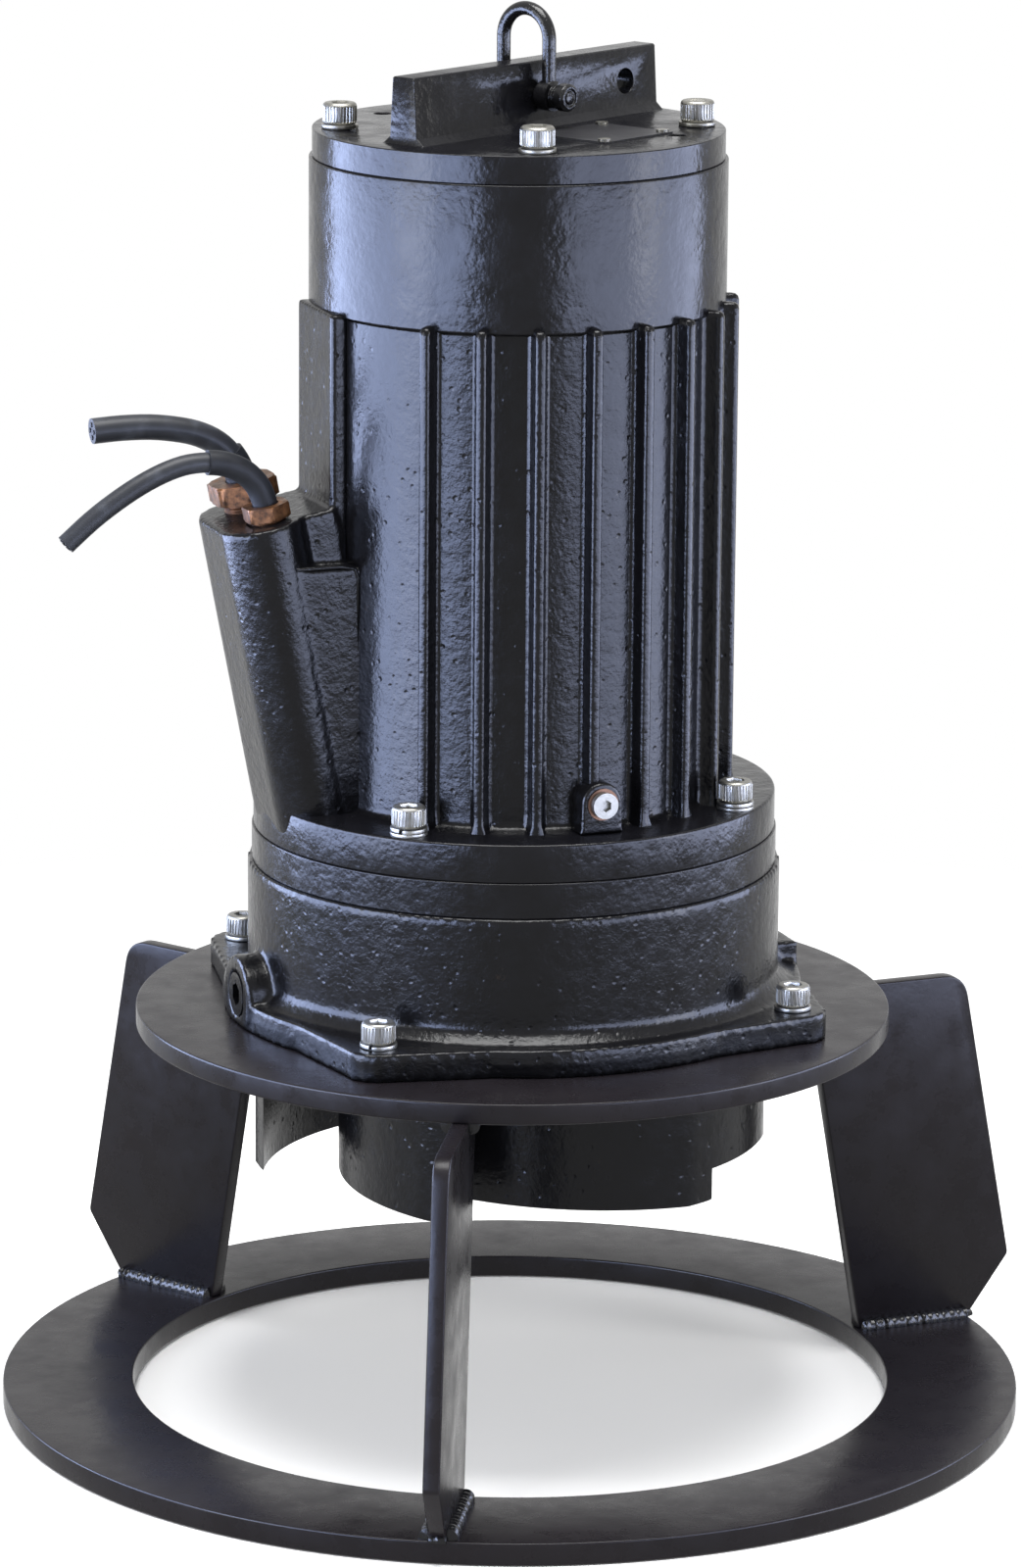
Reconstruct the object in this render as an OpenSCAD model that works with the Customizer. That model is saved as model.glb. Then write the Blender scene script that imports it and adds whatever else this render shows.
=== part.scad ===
// Submersible agitator on a three-legged stand: electric motor, oil casing,
// vaned impeller under a round deck plate, lifting bar with a shackle, two cable stubs.
// Upright, z = 0 under the base ring, motor axis on the z axis.

/* [Stand] */
// Outside diameter of the base ring
ring_d = 500; // [480:5:540]
// Width of the base ring from its bore to its edge
ring_w = 64; // [60:1:75]
// Thickness of the base ring
ring_t = 11; // [9:0.5:14]
// Clear height between base ring and deck plate
stand_h = 180; // [176:2:200]
// From the foot screws out to the edge of the deck plate
deck_margin = 35.5; // [33:0.5:40]
// Thickness of the deck plate
deck_t = 10; // [9:0.5:12]
// Thickness of a leg plate
leg_t = 8; // [6:0.5:10]
// Bearing of the first leg, the others follow at a third of a turn
leg_az = 22.5; // [15:0.5:30]

/* [Oil casing] */
// Outside diameter of the casing wall
casing_d = 258; // [254:1:262]
// Height of the casing
casing_h = 73.5; // [72:0.5:80]
// How far the casing foot stands out from the wall between its lobes
foot_ledge = 12; // [10:0.5:15]
// Thickness of the casing foot flange
foot_t = 13.5; // [12:0.5:15]
// How far the foot screws stand out from the casing wall
foot_reach = 19; // [17.5:0.5:21]

/* [Motor] */
// Thickness of the bearing bracket ring
bracket_t = 17; // [16:0.5:20]
// Diameter of the motor flange
flange_d = 252.4; // [250:0.4:254]
// Thickness of the motor flange
flange_t = 18.5; // [17:0.5:20]
// From the edge of the motor flange in to the flange screws
flange_margin = 9.7; // [9.2:0.1:10.7]
// Height of the motor frame above its flange
frame_h = 305.5; // [300:0.5:320]
// Diameter of the smooth band at the top of the frame
band_d = 199; // [198:0.5:201]
// Height of the smooth band
band_h = 69.5; // [60:0.5:76]
// Diameter over the cooling ribs
rib_d = 212; // [209:0.5:216]
// Width of one cooling rib
rib_w = 5.5; // [4:0.5:7]
// Thickness of the motor lid
lid_t = 13.5; // [12:0.5:16]
// Diameter of the motor lid
lid_d = 196; // [195:0.5:198]

/* [Lifting gear] */
// Length of the lifting bar
bar_l = 177; // [170:1:180]
// Height of the lifting bar
bar_h = 31.5; // [30:0.5:36]
// Thickness of the lifting bar at its top
bar_w = 13.4; // [12:0.2:15]
// Rod diameter of the shackle
shackle_rod = 6.6; // [6:0.2:7]
// Clear width inside the shackle
shackle_gap = 21.4; // [20:0.2:23]
// Height from the shackle pin to the outside of the crown
shackle_h = 43.5; // [42:0.5:48]
// Diameter of the shackle pin
pin_d = 8; // [7:0.2:9]

/* [Cable entry] */
// Bearing of the cable turret
turret_az = 200; // [198:1:202]
// Outward lean of the turret
turret_tilt = 11; // [10:0.5:12]
// Length of the turret along its axis
turret_l = 142; // [138:1:146]
// Diameter of the power cable
power_d = 12.2; // [11:0.2:13]
// Diameter of the control cable
control_d = 9.6; // [9:0.2:10.4]

/* [Drive] */
// Diameter over the impeller vanes
impeller_d = 255.2; // [250:0.4:258]
// Height of the impeller vanes
vane_h = 56; // [50:1:60]
// Thickness of an impeller vane
vane_t = 6.2; // [5:0.2:7]
// Shaft diameter in the oil casing
shaft_d = 24; // [23:0.5:25]
// Length of the stator core
stator_l = 160; // [140:2:170]

/* [Hidden] */
$fn = 96;
eps = 1;              // overrun of every cut
run = 0.08;           // radial running clearance
gap = 0.5;            // clearance between still and turning pieces
leg_n = 3;
quad = 4;
turn = 360;
half = 0.5;

// levels above the floor
z_deck = ring_t + stand_h;
z_foot = z_deck + deck_t;
z_casing = z_foot + casing_h;
z_flange = z_casing + bracket_t;
z_body = z_flange + flange_t;
z_band = z_body + frame_h - band_h;
z_lid = z_body + frame_h;
z_top = z_lid + lid_t;

// radii
ring_r = ring_d * half;
bore_r = ring_r - ring_w;
casing_r = casing_d * half;
foot_r = casing_r + foot_ledge;
foot_pr = casing_r + foot_reach;
deck_r = foot_pr + deck_margin;
flange_r = flange_d * half;
flange_pr = flange_r - flange_margin;
bracket_step = 0.8;    // the bracket stands out over the motor flange
bracket_r = flange_r + bracket_step;
band_r = band_d * half;
band_step = 2;         // the smooth band stands out over the wall below
panel_r = band_r - band_step;
rib_r = rib_d * half;
lid_r = lid_d * half;

// leg profile, radial distance and height
leg_deck_lap = 26;     // how far a leg reaches in under the deck plate
leg_in_top = deck_r - leg_deck_lap;
leg_bore_back = 3;
leg_in_foot = bore_r + leg_bore_back;
leg_top_back = 6;
leg_out_top = ring_r - leg_top_back;
leg_reach = 22;        // the widest corner stands out over the ring
leg_out_low = ring_r + leg_reach;
leg_low = 31;          // height of the lower corner above the ring
leg_edge_back = 0.5;
leg_foot_out = ring_r - leg_edge_back;
leg_round = 14;
weld = 4.5;
weld_back = 2.5;       // a bead stops short of the end of the leg
weld_start = 2;
weld_foot_in = leg_in_foot + weld_start;
weld_foot_out = leg_foot_out - weld_back;
weld_top_out = deck_r - weld_back;

// screws, ten millimetre thread
m10_r = 5;
m10_head_r = 8.15;
m10_head_h = 10;
m10_socket = 8;
m10_socket_depth = 5;
m10_clear = 5.5;
chamfer = 0.8;
spring_r = 8.9;
spring_t = 2.3;
spring_slit = 1.6;
flat_r = 10;
flat_t = 1.6;
screw_az = 245;
foot_screw_l = 24.5;
flange_screw_l = 60;
lid_screw_l = 30;
lid_pr = 85;
lid_az = 5.8;
flange_tap = 24;
flange_tap_z = z_casing - flange_tap;

// casing
casing_wall = 11;
casing_floor = 12;
casing_in = casing_r - casing_wall;
casing_rim = 12.5;     // metal each side of the flange screws' tapped holes
casing_top_in = flange_pr - casing_rim;
casing_rim_r = max(casing_r, flange_pr + casing_rim);
casing_rim_drop = 4;   // height over which the wall runs out to the rim
casing_top_h = 30;
casing_fillet = 6;
lobe_r = 16;
lobe_half = 22;        // half angle of a lobe root
lobe_bite = 0.4;       // a flank runs this far inside the circles that it joins
spigot_r = 45;
spigot_h = 8;
port_r = 19;
port_low = 1.5;        // underside of the side boss above the deck
port_rise = 15;
port_z = z_foot + port_rise;
port_stand = 12.5;     // the side boss stands out over the casing wall
port_out = casing_r + port_stand;
port_thread_r = 10.5;
port_socket = 10;
port_socket_depth = 7;
port_bite = 17;
port_in = casing_r - port_bite;
pad_half = 22;
pad_bite = 4;
pad_in = casing_r - pad_bite;
pad_step = 0.6;        // the upper part of the pad stands back from the foot below it
pad_rise = 23;
pad_z = z_foot + pad_rise;

// seals and bearings around the shaft
shaft_r = shaft_d * half;
lip_r = 22;
lip_h = 7;
shoulder_r = 18;
seat_r = 24;
seat_t = 8;
face_in = shaft_r + gap;
seal_r = 20;
ring_seal_t = 7;
seat_rise = 4;
low_seat_z = z_foot + seat_rise;
low_face_z = low_seat_z + seat_t;
bellows_z = low_face_z + ring_seal_t;
bellows_l = 22;
bellows_n = 4;
bellows_in = 13.5;
bellows_out = 18.5;
up_ring_z = bellows_z + bellows_l;
up_face_z = up_ring_z + ring_seal_t;
hub_z = up_face_z;
hub_r = 46;
low_b_in = 15;
low_b_out = 36;
low_b_w = 19;
low_b_rise = 2.5;
low_b_z = z_casing + low_b_rise;
hub_over = 4;
low_hub_top = low_b_z + low_b_w + hub_over;
low_land_in = 21.5;
low_land_out = 29.5;
low_pitch = 25.5;
low_ball = 6;
low_balls_n = 8;
up_b_in = 12.5;
up_b_out = 31;
up_b_w = 17;
up_b_drop = 25.5;
up_b_z = z_lid - up_b_drop;
up_land_in = 18.2;
up_land_out = 25.3;
up_pitch = 21.75;
up_ball = 5.2;
up_balls_n = 7;
cage_t = 1.6;
cage_share = 0.55;
clip_in = 33;
clip_out = 37.5;
clip_t = 1.8;
wave_in = 25.5;
wave_t = 3.5;
lid_hub_r = 39;
lid_hub_under = 2;
lid_hub_h = up_b_drop + lid_hub_under;
hub_hole_r = 22;
hub_neck_h = 6;

// sealing rings of round section
oring = 3.4;
oring_r = oring * half;
top_in = 74;
top_ring_h = 26;
lid_spigot_in = 62;
lid_spigot_h = 10;
frame_in = 88;
bracket_up_h = 10;
bracket_up_in = 74;
bracket_low_h = 8;
bracket_low_in = 88;
oring_off = 2.6;       // from the end of a spigot to the groove

// shaft steps
shaft_reach = 59;      // below the deck's upper face
shaft_low_z = z_foot - shaft_reach;
shaft_big_r = 19;
shaft_shoulder = 17.5;
shaft_shoulder_z = low_b_z + low_b_w;
shoulder_l = 6;
shaft_big_z = shaft_shoulder_z + shoulder_l;
shaft_stub = 1.5;
shaft_top_z = up_b_z + up_b_w + shaft_stub;
shaft_end_bevel = 1;

// rotor and stator
stator_rise = 137;
stator_mid = z_body + stator_rise;
stator_z = stator_mid - stator_l * half;
stator_in = 52;
air_gap = 0.6;
rotor_r = stator_in - air_gap;
rotor_l_share = 0.94;
rotor_l = stator_l * rotor_l_share;
rotor_z = stator_mid - rotor_l * half;
slots = 24;
slot_w = 6;
slot_out = 72;
coil_h = 26;
coil_in = 55;
coil_out = 82;
coil_round = 6;
end_ring_in = 30;
end_ring_out = 49;
end_ring_t = 9;

// impeller
imp_r = impeller_d * half;
imp_gap = 4;
shroud_t = 6;
imp_top = z_deck - imp_gap;
vane_z = imp_top - shroud_t - vane_h;
imp_hub_r = 28;
imp_hub_under = 2;     // the hub stands below the shaft end, so the washer clamps it
imp_hub_z = shaft_low_z - imp_hub_under;
vane_n = 6;
vane_az = 19.8;
vane_arc = 116.7;      // radius of the hollow face of a vane
vane_cx = 19;
vane_cy = 42.8;
vane_sweep = 100;
vane_lead = 12;
vane_back = 0.4;       // vane tips stand back from the rim of the shroud
imp_washer_r = 20;
imp_washer_t = 4;
imp_bolt_l = 28;
key_w = 6;
key_h = 6;
key_l = 30;
key_rise = 8;
key_z = shaft_low_z + key_rise;
key_in = shaft_r - key_h * half;

// frame ribs, side channel and turret
rib_first = 245.9;
rib_pitch = 15;
rib_count = 19;
rib_over = 2.5;        // rib tops stand above the edge of the smooth band
rib_root = 90;
wing_s = 101.5;
wing_half = 25.5;
wing_over = 1.5;
wing_top = z_band + wing_over;
root_s = 80;
web_half = 27;
lowweb_half = 36;
lowweb_in = 95;
lowweb_h = 119;
lowweb_top = z_body + lowweb_h;
turret_s = 106.5;
turret_r = 20.5;
turret_t = 16;
chamber_r = 13.5;
chamber_low = 26;
chamber_roof = 16;
chamber_top = turret_l - chamber_roof;
window_half = 14;
window_rise = 35;
window_z = z_body + window_rise;
window_h = 56;
flange_fillet = 4;
boss_az = 292;
boss_half = 10;
boss_out = 111;
boss_rise = 14.5;
boss_z = z_body + boss_rise;
boss_bore = 5;
plug_head_r = 6.2;
plug_head_h = 3.5;
plug_l = 14;
plug_socket = 5;
plug_socket_depth = 2.6;
gasket_r = 7.6;
gasket_t = 1;

// lid furniture
bar_az = 50;
bar_shift = 5;
bar_base = 16.6;
bar_flare = 12.5;
bar_flare_h = 3.5;
bar_edge = 0.8;        // dressed edge along the top of the bar
bar_hole_z = 15.6;
bar_hole_r = 6;
bar_hole_u = 70.2;
jack_r = 4.25;
jack_pr = 78;
jack_azs = [147, 342];
jack_depth = 10;
plate_x = 39.5;
plate_y = -22.7;
plate_l = 50;
plate_w = 44;
plate_t = 0.8;
plate_edge = 3.5;
rivet_r = 1.9;
rivet_h = 1.1;
rivet_l = 5;

// shackle
pin_r = pin_d * half;
eye_r = 7.2;
rod_r = shackle_rod * half;
bow_r = shackle_gap * half + rod_r;
bow_z = shackle_h - rod_r - bow_r;
pin_z = z_top + bar_hole_z;
pin_head_r = 6.6;
pin_head_h = 5.4;
pin_collar_r = 5.6;
pin_collar = 1.6;
pin_collars = 3;
pin_ridge = 0.7;
pin_tail = 3;
head_ring = 1.2;
head_dip = 0.8;

// glands and cables; routes in the plane of the turret: outward, height
gland_x = -3.5;
gland_t = 16.5;
power_r = power_d * half;
control_r = control_d * half;
pg_r = 11;
pg_up = 5;             // bottom of the nut above the turret top
pg_nut_h = 9.5;
pg_nut_r = 17.2;
cg_r = 8.4;
cg_up = 1.5;
cg_nut_h = 7;
cg_nut_r = 11.6;
gland_in = 14;
grommet_h = 7;
grommet_w = 2;
gland_bore_gap = 0.3;
cable_in = 88;         // height along the turret where a cable ends inside
neck_share = 0.8;      // part of a nut that the threaded neck fills
knee_share = 0.5;      // a cable runs straight up to here in its nut
lip_share = 0.85;      // a sleeve starts here in the nut
power_sleeve_r = 7.3;
control_sleeve_r = 6.1;
tube_n = 10;
power_route = [
  [133.6, 467], [136.4, 473], [141, 479], [147.5, 484], [156, 487.8],
  [166, 490.2], [178, 491.8], [192, 492.1], [206.4, 491.4]];
control_route = [
  [132.5, 461], [135.2, 467], [140, 472.6], [146.6, 476.8], [154.4, 479.2],
  [163, 479.8], [172, 478.9], [182, 475.8], [193, 470.7], [205, 463.6],
  [217, 455.1], [229.3, 444.7]];
power_sleeve_to = 2;   // last route point under the sleeve
control_sleeve_to = 5;

// which sub-part to draw

cast_black = [0.10, 0.10, 0.12];
plate_black = [0.16, 0.16, 0.18];
steel = [0.72, 0.72, 0.74];
brass = [0.72, 0.50, 0.34];
rubber = [0.09, 0.09, 0.10];
cable_black = [0.20, 0.21, 0.25];
copper = [0.70, 0.40, 0.24];
carbon = [0.25, 0.25, 0.27];

// ---------- helpers ----------
module tube(ro, ri, h) {
  difference() {
    cylinder(r = ro, h = h);
    translate([0, 0, -eps]) cylinder(r = ri, h = h + 2 * eps);
  }
}

module around(n, first, r) {
  for (k = [0 : n - 1])
    rotate([0, 0, first + k * turn / n]) translate([r, 0, 0]) children();
}

module cap_screw(l) {
  difference() {
    rotate_extrude()
      polygon([[0, -l], [m10_r - chamfer, -l], [m10_r, chamfer - l], [m10_r, 0],
        [m10_head_r, 0], [m10_head_r, m10_head_h - chamfer],
        [m10_head_r - chamfer, m10_head_h], [0, m10_head_h]]);
    translate([0, 0, m10_head_h - m10_socket_depth])
      cylinder(d = m10_socket / cos(30), h = m10_socket_depth + eps, $fn = 6);
  }
}

module spring_washer() {
  difference() {
    tube(spring_r, m10_clear, spring_t);
    translate([0, -spring_slit * half, -eps])
      cube([spring_r + eps, spring_slit, spring_t + 2 * eps]);
  }
}

// sealing ring groove cut into a spigot of radius r at height z
module groove(r, z) {
  translate([0, 0, z]) difference() {
    cylinder(r = r + eps, h = oring);
    translate([0, 0, -eps]) cylinder(r = r - oring, h = oring + 2 * eps);
  }
}

module seal_ring(r, z) {
  translate([0, 0, z + oring_r]) rotate_extrude() translate([r - oring_r, 0]) circle(r = oring_r);
}

// frame of the leaning turret: x outward, z along the turret
module turret_frame() {
  rotate([0, 0, turret_az]) translate([turret_s, 0, z_body]) rotate([0, turret_tilt, 0]) children();
}

// ---------- stand ----------
module base_ring() {
  color(plate_black) tube(ring_r, bore_r, ring_t);
}

module leg(az) {
  color(plate_black) rotate([0, 0, az]) rotate([90, 0, 0])
    translate([0, 0, -leg_t * half]) linear_extrude(height = leg_t) difference() {
      polygon([[leg_in_foot, ring_t], [leg_foot_out, ring_t], [leg_out_low, ring_t + leg_low],
        [leg_out_top, z_deck], [leg_in_top, z_deck]]);
      difference() {
        translate([leg_out_top - leg_round, z_deck - leg_round])
          square([leg_round + leg_low, leg_round + eps]);
        translate([leg_out_top - leg_round, z_deck - leg_round]) circle(r = leg_round);
        translate([leg_out_top - leg_round - eps, z_deck - leg_round - eps])
          square([eps, leg_round]);
      }
    }
}

module leg_right() { leg(leg_az); }
module leg_left() { leg(leg_az + turn / leg_n); }
module leg_front() { leg(leg_az + 2 * turn / leg_n); }

module bead(l) {
  rotate([90, 0, 90]) linear_extrude(height = l) polygon([[0, 0], [weld, 0], [0, weld]]);
}

module weld_beads() {
  color(cast_black) for (k = [0 : leg_n - 1]) rotate([0, 0, leg_az + k * turn / leg_n]) {
    translate([weld_foot_in, leg_t * half, ring_t]) bead(weld_foot_out - weld_foot_in);
    mirror([0, 1, 0]) translate([weld_foot_in, leg_t * half, ring_t])
      bead(weld_foot_out - weld_foot_in);
    translate([leg_in_top + weld, leg_t * half, z_deck]) mirror([0, 0, 1])
      bead(weld_top_out - leg_in_top - weld);
    mirror([0, 1, 0]) translate([leg_in_top + weld, leg_t * half, z_deck]) mirror([0, 0, 1])
      bead(weld_top_out - leg_in_top - weld);
  }
}

module deck_plate() {
  color(plate_black) translate([0, 0, z_deck]) difference() {
    cylinder(r = deck_r, h = deck_t);
    translate([0, 0, -eps]) cylinder(r = spigot_r, h = deck_t + 2 * eps);
    around(quad, screw_az, foot_pr) translate([0, 0, -eps]) cylinder(r = m10_r, h = deck_t + 2 * eps);
  }
}

// ---------- oil casing ----------
module lobe() {
  root_x = (foot_r - lobe_bite) * cos(lobe_half);
  root_y = (foot_r - lobe_bite) * sin(lobe_half);
  d = norm([foot_pr - root_x, root_y]);
  a = atan2(root_y, foot_pr - root_x);
  b = acos((lobe_r - lobe_bite) / d);
  tan_a = turn * half - a - b;
  tx = foot_pr + (lobe_r - lobe_bite) * cos(tan_a);
  ty = (lobe_r - lobe_bite) * sin(tan_a);
  polygon([[casing_in, 0], [root_x, -root_y], [tx, -ty], [foot_pr, 0], [tx, ty], [root_x, root_y]]);
  translate([foot_pr, 0]) circle(r = lobe_r);
}

module oil_casing() {
  color(cast_black) translate([0, 0, z_foot]) difference() {
    union() {
      rotate_extrude() polygon([[0, -spigot_h], [spigot_r, -spigot_h], [spigot_r, foot_t * half],
        [casing_r + casing_fillet + foot_t * half, foot_t * half],
        [casing_r, foot_t + casing_fillet], [casing_r, casing_h - casing_top_h - casing_rim_drop],
        [casing_rim_r, casing_h - casing_top_h], [casing_rim_r, casing_h], [0, casing_h]]);
      linear_extrude(height = foot_t) {
        circle(r = foot_r);
        for (k = [0 : quad - 1]) rotate([0, 0, screw_az + k * turn / quad]) lobe();
        rotate([0, 0, turret_az + turn * half]) translate([pad_in, -pad_half])
          square([port_out - pad_in, 2 * pad_half]);
      }
      intersection() {
        rotate([0, 0, turret_az]) translate([port_in, 0, port_z - z_foot]) rotate([0, 90, 0])
          cylinder(r = port_r, h = port_out - port_in);
        translate([0, 0, port_low]) cylinder(r = ring_r, h = casing_h);
      }
      rotate([0, 0, turret_az + turn * half]) translate([pad_in, -pad_half + pad_step, foot_t * half])
        cube([port_out - pad_in - pad_step, 2 * (pad_half - pad_step), pad_rise - foot_t * half]);
    }
    // oil chamber, narrower at the top where the screws hold
    translate([0, 0, casing_floor]) cylinder(r = casing_in, h = casing_h - casing_top_h - casing_floor);
    translate([0, 0, casing_floor]) cylinder(r = casing_top_in, h = casing_h);
    // seal seat, shoulder and lip seal pocket
    translate([0, 0, low_seat_z - z_foot]) cylinder(r = seat_r, h = casing_h);
    translate([0, 0, -spigot_h - eps]) cylinder(r = lip_r, h = lip_h + eps);
    translate([0, 0, -spigot_h - eps]) cylinder(r = shoulder_r, h = casing_h);
    around(quad, screw_az, foot_pr) translate([0, 0, -eps]) cylinder(r = m10_clear, h = foot_t + 2 * eps);
    around(quad, screw_az, flange_pr) translate([0, 0, flange_tap_z - z_foot])
      cylinder(r = m10_r, h = casing_h);
    rotate([0, 0, turret_az]) translate([port_in - eps, 0, port_z - z_foot]) rotate([0, 90, 0])
      cylinder(r = port_thread_r, h = port_out);
  }
}

module oil_plug() {
  color(cast_black) rotate([0, 0, turret_az]) translate([casing_in, 0, port_z]) rotate([0, 90, 0])
    difference() {
      cylinder(r = port_thread_r, h = port_out - casing_in);
      translate([0, 0, port_out - casing_in - port_socket_depth])
        cylinder(d = port_socket / cos(30), h = port_socket_depth + eps, $fn = 6);
    }
}

module foot_screws() {
  color(steel) translate([0, 0, z_foot + foot_t + spring_t]) around(quad, screw_az, foot_pr)
    cap_screw(foot_screw_l);
}

module foot_washers() {
  color(steel) translate([0, 0, z_foot + foot_t]) around(quad, screw_az, foot_pr) spring_washer();
}

// ---------- bearing bracket ----------
module bearing_bracket() {
  low = z_casing - bracket_low_h;
  color(cast_black) difference() {
    union() {
      translate([0, 0, z_casing]) cylinder(r = bracket_r, h = bracket_t);
      translate([0, 0, low]) tube(casing_top_in, bracket_low_in, bracket_low_h + eps);
      translate([0, 0, z_flange - eps]) tube(frame_in, bracket_up_in, bracket_up_h + eps);
      translate([0, 0, hub_z]) cylinder(r = hub_r, h = low_hub_top - hub_z);
    }
    translate([0, 0, low_b_z]) cylinder(r = low_b_out, h = casing_h);
    translate([0, 0, low_b_z + low_b_w]) cylinder(r = clip_out, h = clip_t);
    translate([0, 0, hub_z - eps]) cylinder(r = hub_hole_r, h = casing_h);
    translate([0, 0, hub_z - eps]) cylinder(r = seat_r, h = seat_t + eps);
    around(quad, screw_az, flange_pr) translate([0, 0, z_casing - eps])
      cylinder(r = m10_clear, h = bracket_t + 2 * eps);
    groove(casing_top_in, low + oring_off);
    groove(frame_in, z_flange + bracket_up_h - oring_off - oring);
  }
}

module casing_oring() {
  color(rubber) seal_ring(casing_top_in, z_casing - bracket_low_h + oring_off);
}

module frame_oring() {
  color(rubber) seal_ring(frame_in, z_flange + bracket_up_h - oring_off - oring);
}

// ---------- motor frame ----------
module turret_block() {
  intersection() {
    union() {
      turret_frame() {
        for (s = [-1, 1]) translate([0, s * turret_t, -flange_t])
          cylinder(r = turret_r, h = turret_l + flange_t);
        translate([-turret_r, -turret_t, -flange_t])
          cube([2 * turret_r, 2 * turret_t, turret_l + flange_t]);
        translate([-turret_s, -web_half, -flange_t])
          cube([turret_s, 2 * web_half, turret_l + flange_t]);
      }
      rotate([0, 0, turret_az]) intersection() {
        translate([lowweb_in, -lowweb_half, z_flange])
          cube([turret_s - lowweb_in + turret_r, 2 * lowweb_half, lowweb_top - z_flange]);
        translate([turret_s, 0, z_body]) rotate([0, turret_tilt, 0])
          translate([-turret_s, -lowweb_half, -flange_t])
          cube([turret_s, 2 * lowweb_half, turret_l + flange_t]);
      }
    }
    rotate([0, 0, turret_az]) translate([root_s, -ring_r, z_flange + flange_t * half])
      cube([ring_r, ring_d, frame_h]);
  }
}

module motor_frame() {
  color(cast_black) difference() {
    union() {
      rotate_extrude() polygon([[frame_in - eps, z_flange], [flange_r, z_flange],
        [flange_r, z_body], [panel_r + flange_fillet, z_body], [panel_r, z_body + flange_fillet],
        [panel_r, z_band], [band_r, z_band], [band_r, z_lid], [frame_in - eps, z_lid]]);
      translate([0, 0, z_lid - top_ring_h]) tube(frame_in, top_in, top_ring_h);
      for (k = [0 : rib_count - 1]) rotate([0, 0, rib_first + k * rib_pitch])
        translate([rib_root, -rib_w * half, z_body - eps])
        cube([rib_r - rib_root, rib_w, z_band + rib_over - z_body + eps]);
      rotate([0, 0, turret_az]) translate([root_s, -wing_half, z_body - eps])
        cube([wing_s - root_s, 2 * wing_half, wing_top - z_body + eps]);
      turret_block();
      rotate([0, 0, boss_az]) {
        translate([rib_root, -boss_half, z_body - eps])
          cube([boss_out - rib_root, 2 * boss_half, boss_z - z_body + eps]);
        translate([rib_root, 0, boss_z]) rotate([0, 90, 0])
          cylinder(r = boss_half, h = boss_out - rib_root);
      }
    }
    // stator bore, lid bore
    translate([0, 0, z_flange - eps]) cylinder(r = frame_in, h = z_lid - top_ring_h - z_flange + eps);
    translate([0, 0, z_flange]) cylinder(r = top_in, h = frame_h * 2);
    around(quad, screw_az, flange_pr) translate([0, 0, z_flange - eps])
      cylinder(r = m10_clear, h = flange_t + 2 * eps);
    around(quad, lid_az, lid_pr) translate([0, 0, z_lid + spring_t + lid_t - lid_screw_l - eps])
      cylinder(r = m10_r, h = lid_screw_l);
    rotate([0, 0, boss_az]) translate([frame_in - 2 * eps, 0, boss_z]) rotate([0, 90, 0])
      cylinder(r = boss_bore, h = boss_out);
    // cable chamber, gland threads and the way into the motor
    turret_frame() {
      for (s = [-1, 1]) translate([0, s * turret_t, chamber_low])
        cylinder(r = chamber_r, h = chamber_top - chamber_low);
      translate([-chamber_r, -turret_t, chamber_low])
        cube([2 * chamber_r, 2 * turret_t, chamber_top - chamber_low]);
      translate([gland_x, -gland_t, chamber_top - eps]) cylinder(r = pg_r, h = turret_l);
      translate([gland_x, gland_t, chamber_top - eps]) cylinder(r = cg_r, h = turret_l);
    }
    rotate([0, 0, turret_az]) translate([root_s, -window_half, window_z])
      cube([turret_s - root_s, 2 * window_half, window_h]);
  }
}

module flange_screws() {
  color(steel) translate([0, 0, z_body + flat_t + spring_t]) around(quad, screw_az, flange_pr)
    cap_screw(flange_screw_l);
}

module flange_washers() {
  color(steel) translate([0, 0, z_body + flat_t]) around(quad, screw_az, flange_pr) spring_washer();
}

module flange_flat_washers() {
  color(steel) translate([0, 0, z_body]) around(quad, screw_az, flange_pr)
    tube(spring_r, m10_clear, flat_t);
}

module check_plug() {
  color(steel) rotate([0, 0, boss_az]) translate([boss_out + gasket_t, 0, boss_z]) rotate([0, 90, 0])
    difference() {
      union() {
        cylinder(r = plug_head_r, h = plug_head_h);
        translate([0, 0, -plug_l]) cylinder(r = boss_bore, h = plug_l + eps);
      }
      translate([0, 0, plug_head_h - plug_socket_depth])
        cylinder(d = plug_socket / cos(30), h = plug_socket_depth + eps, $fn = 6);
    }
}

module check_gasket() {
  color(copper) rotate([0, 0, boss_az]) translate([boss_out, 0, boss_z]) rotate([0, 90, 0])
    tube(gasket_r, boss_bore, gasket_t);
}

// ---------- stator ----------
module stator_core() {
  color(carbon) translate([0, 0, stator_z]) difference() {
    tube(frame_in, stator_in, stator_l);
    for (k = [0 : slots - 1]) rotate([0, 0, k * turn / slots])
      translate([stator_in - eps, -slot_w * half, -eps])
      cube([slot_out - stator_in + eps, slot_w, stator_l + 2 * eps]);
  }
}

module coil_head(z) {
  translate([0, 0, z]) rotate_extrude() {
    translate([coil_in + coil_round, coil_round])
      square([coil_out - coil_in - 2 * coil_round, coil_h - 2 * coil_round]);
    translate([coil_in, coil_round]) square([coil_round, coil_h - 2 * coil_round]);
    translate([coil_out - coil_round, coil_round]) square([coil_round, coil_h - 2 * coil_round]);
    translate([coil_in + coil_round, 0]) square([coil_out - coil_in - 2 * coil_round, coil_round]);
    translate([coil_in + coil_round, coil_h - coil_round])
      square([coil_out - coil_in - 2 * coil_round, coil_round]);
    for (x = [coil_in + coil_round, coil_out - coil_round], y = [coil_round, coil_h - coil_round])
      translate([x, y]) circle(r = coil_round);
  }
}

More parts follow.
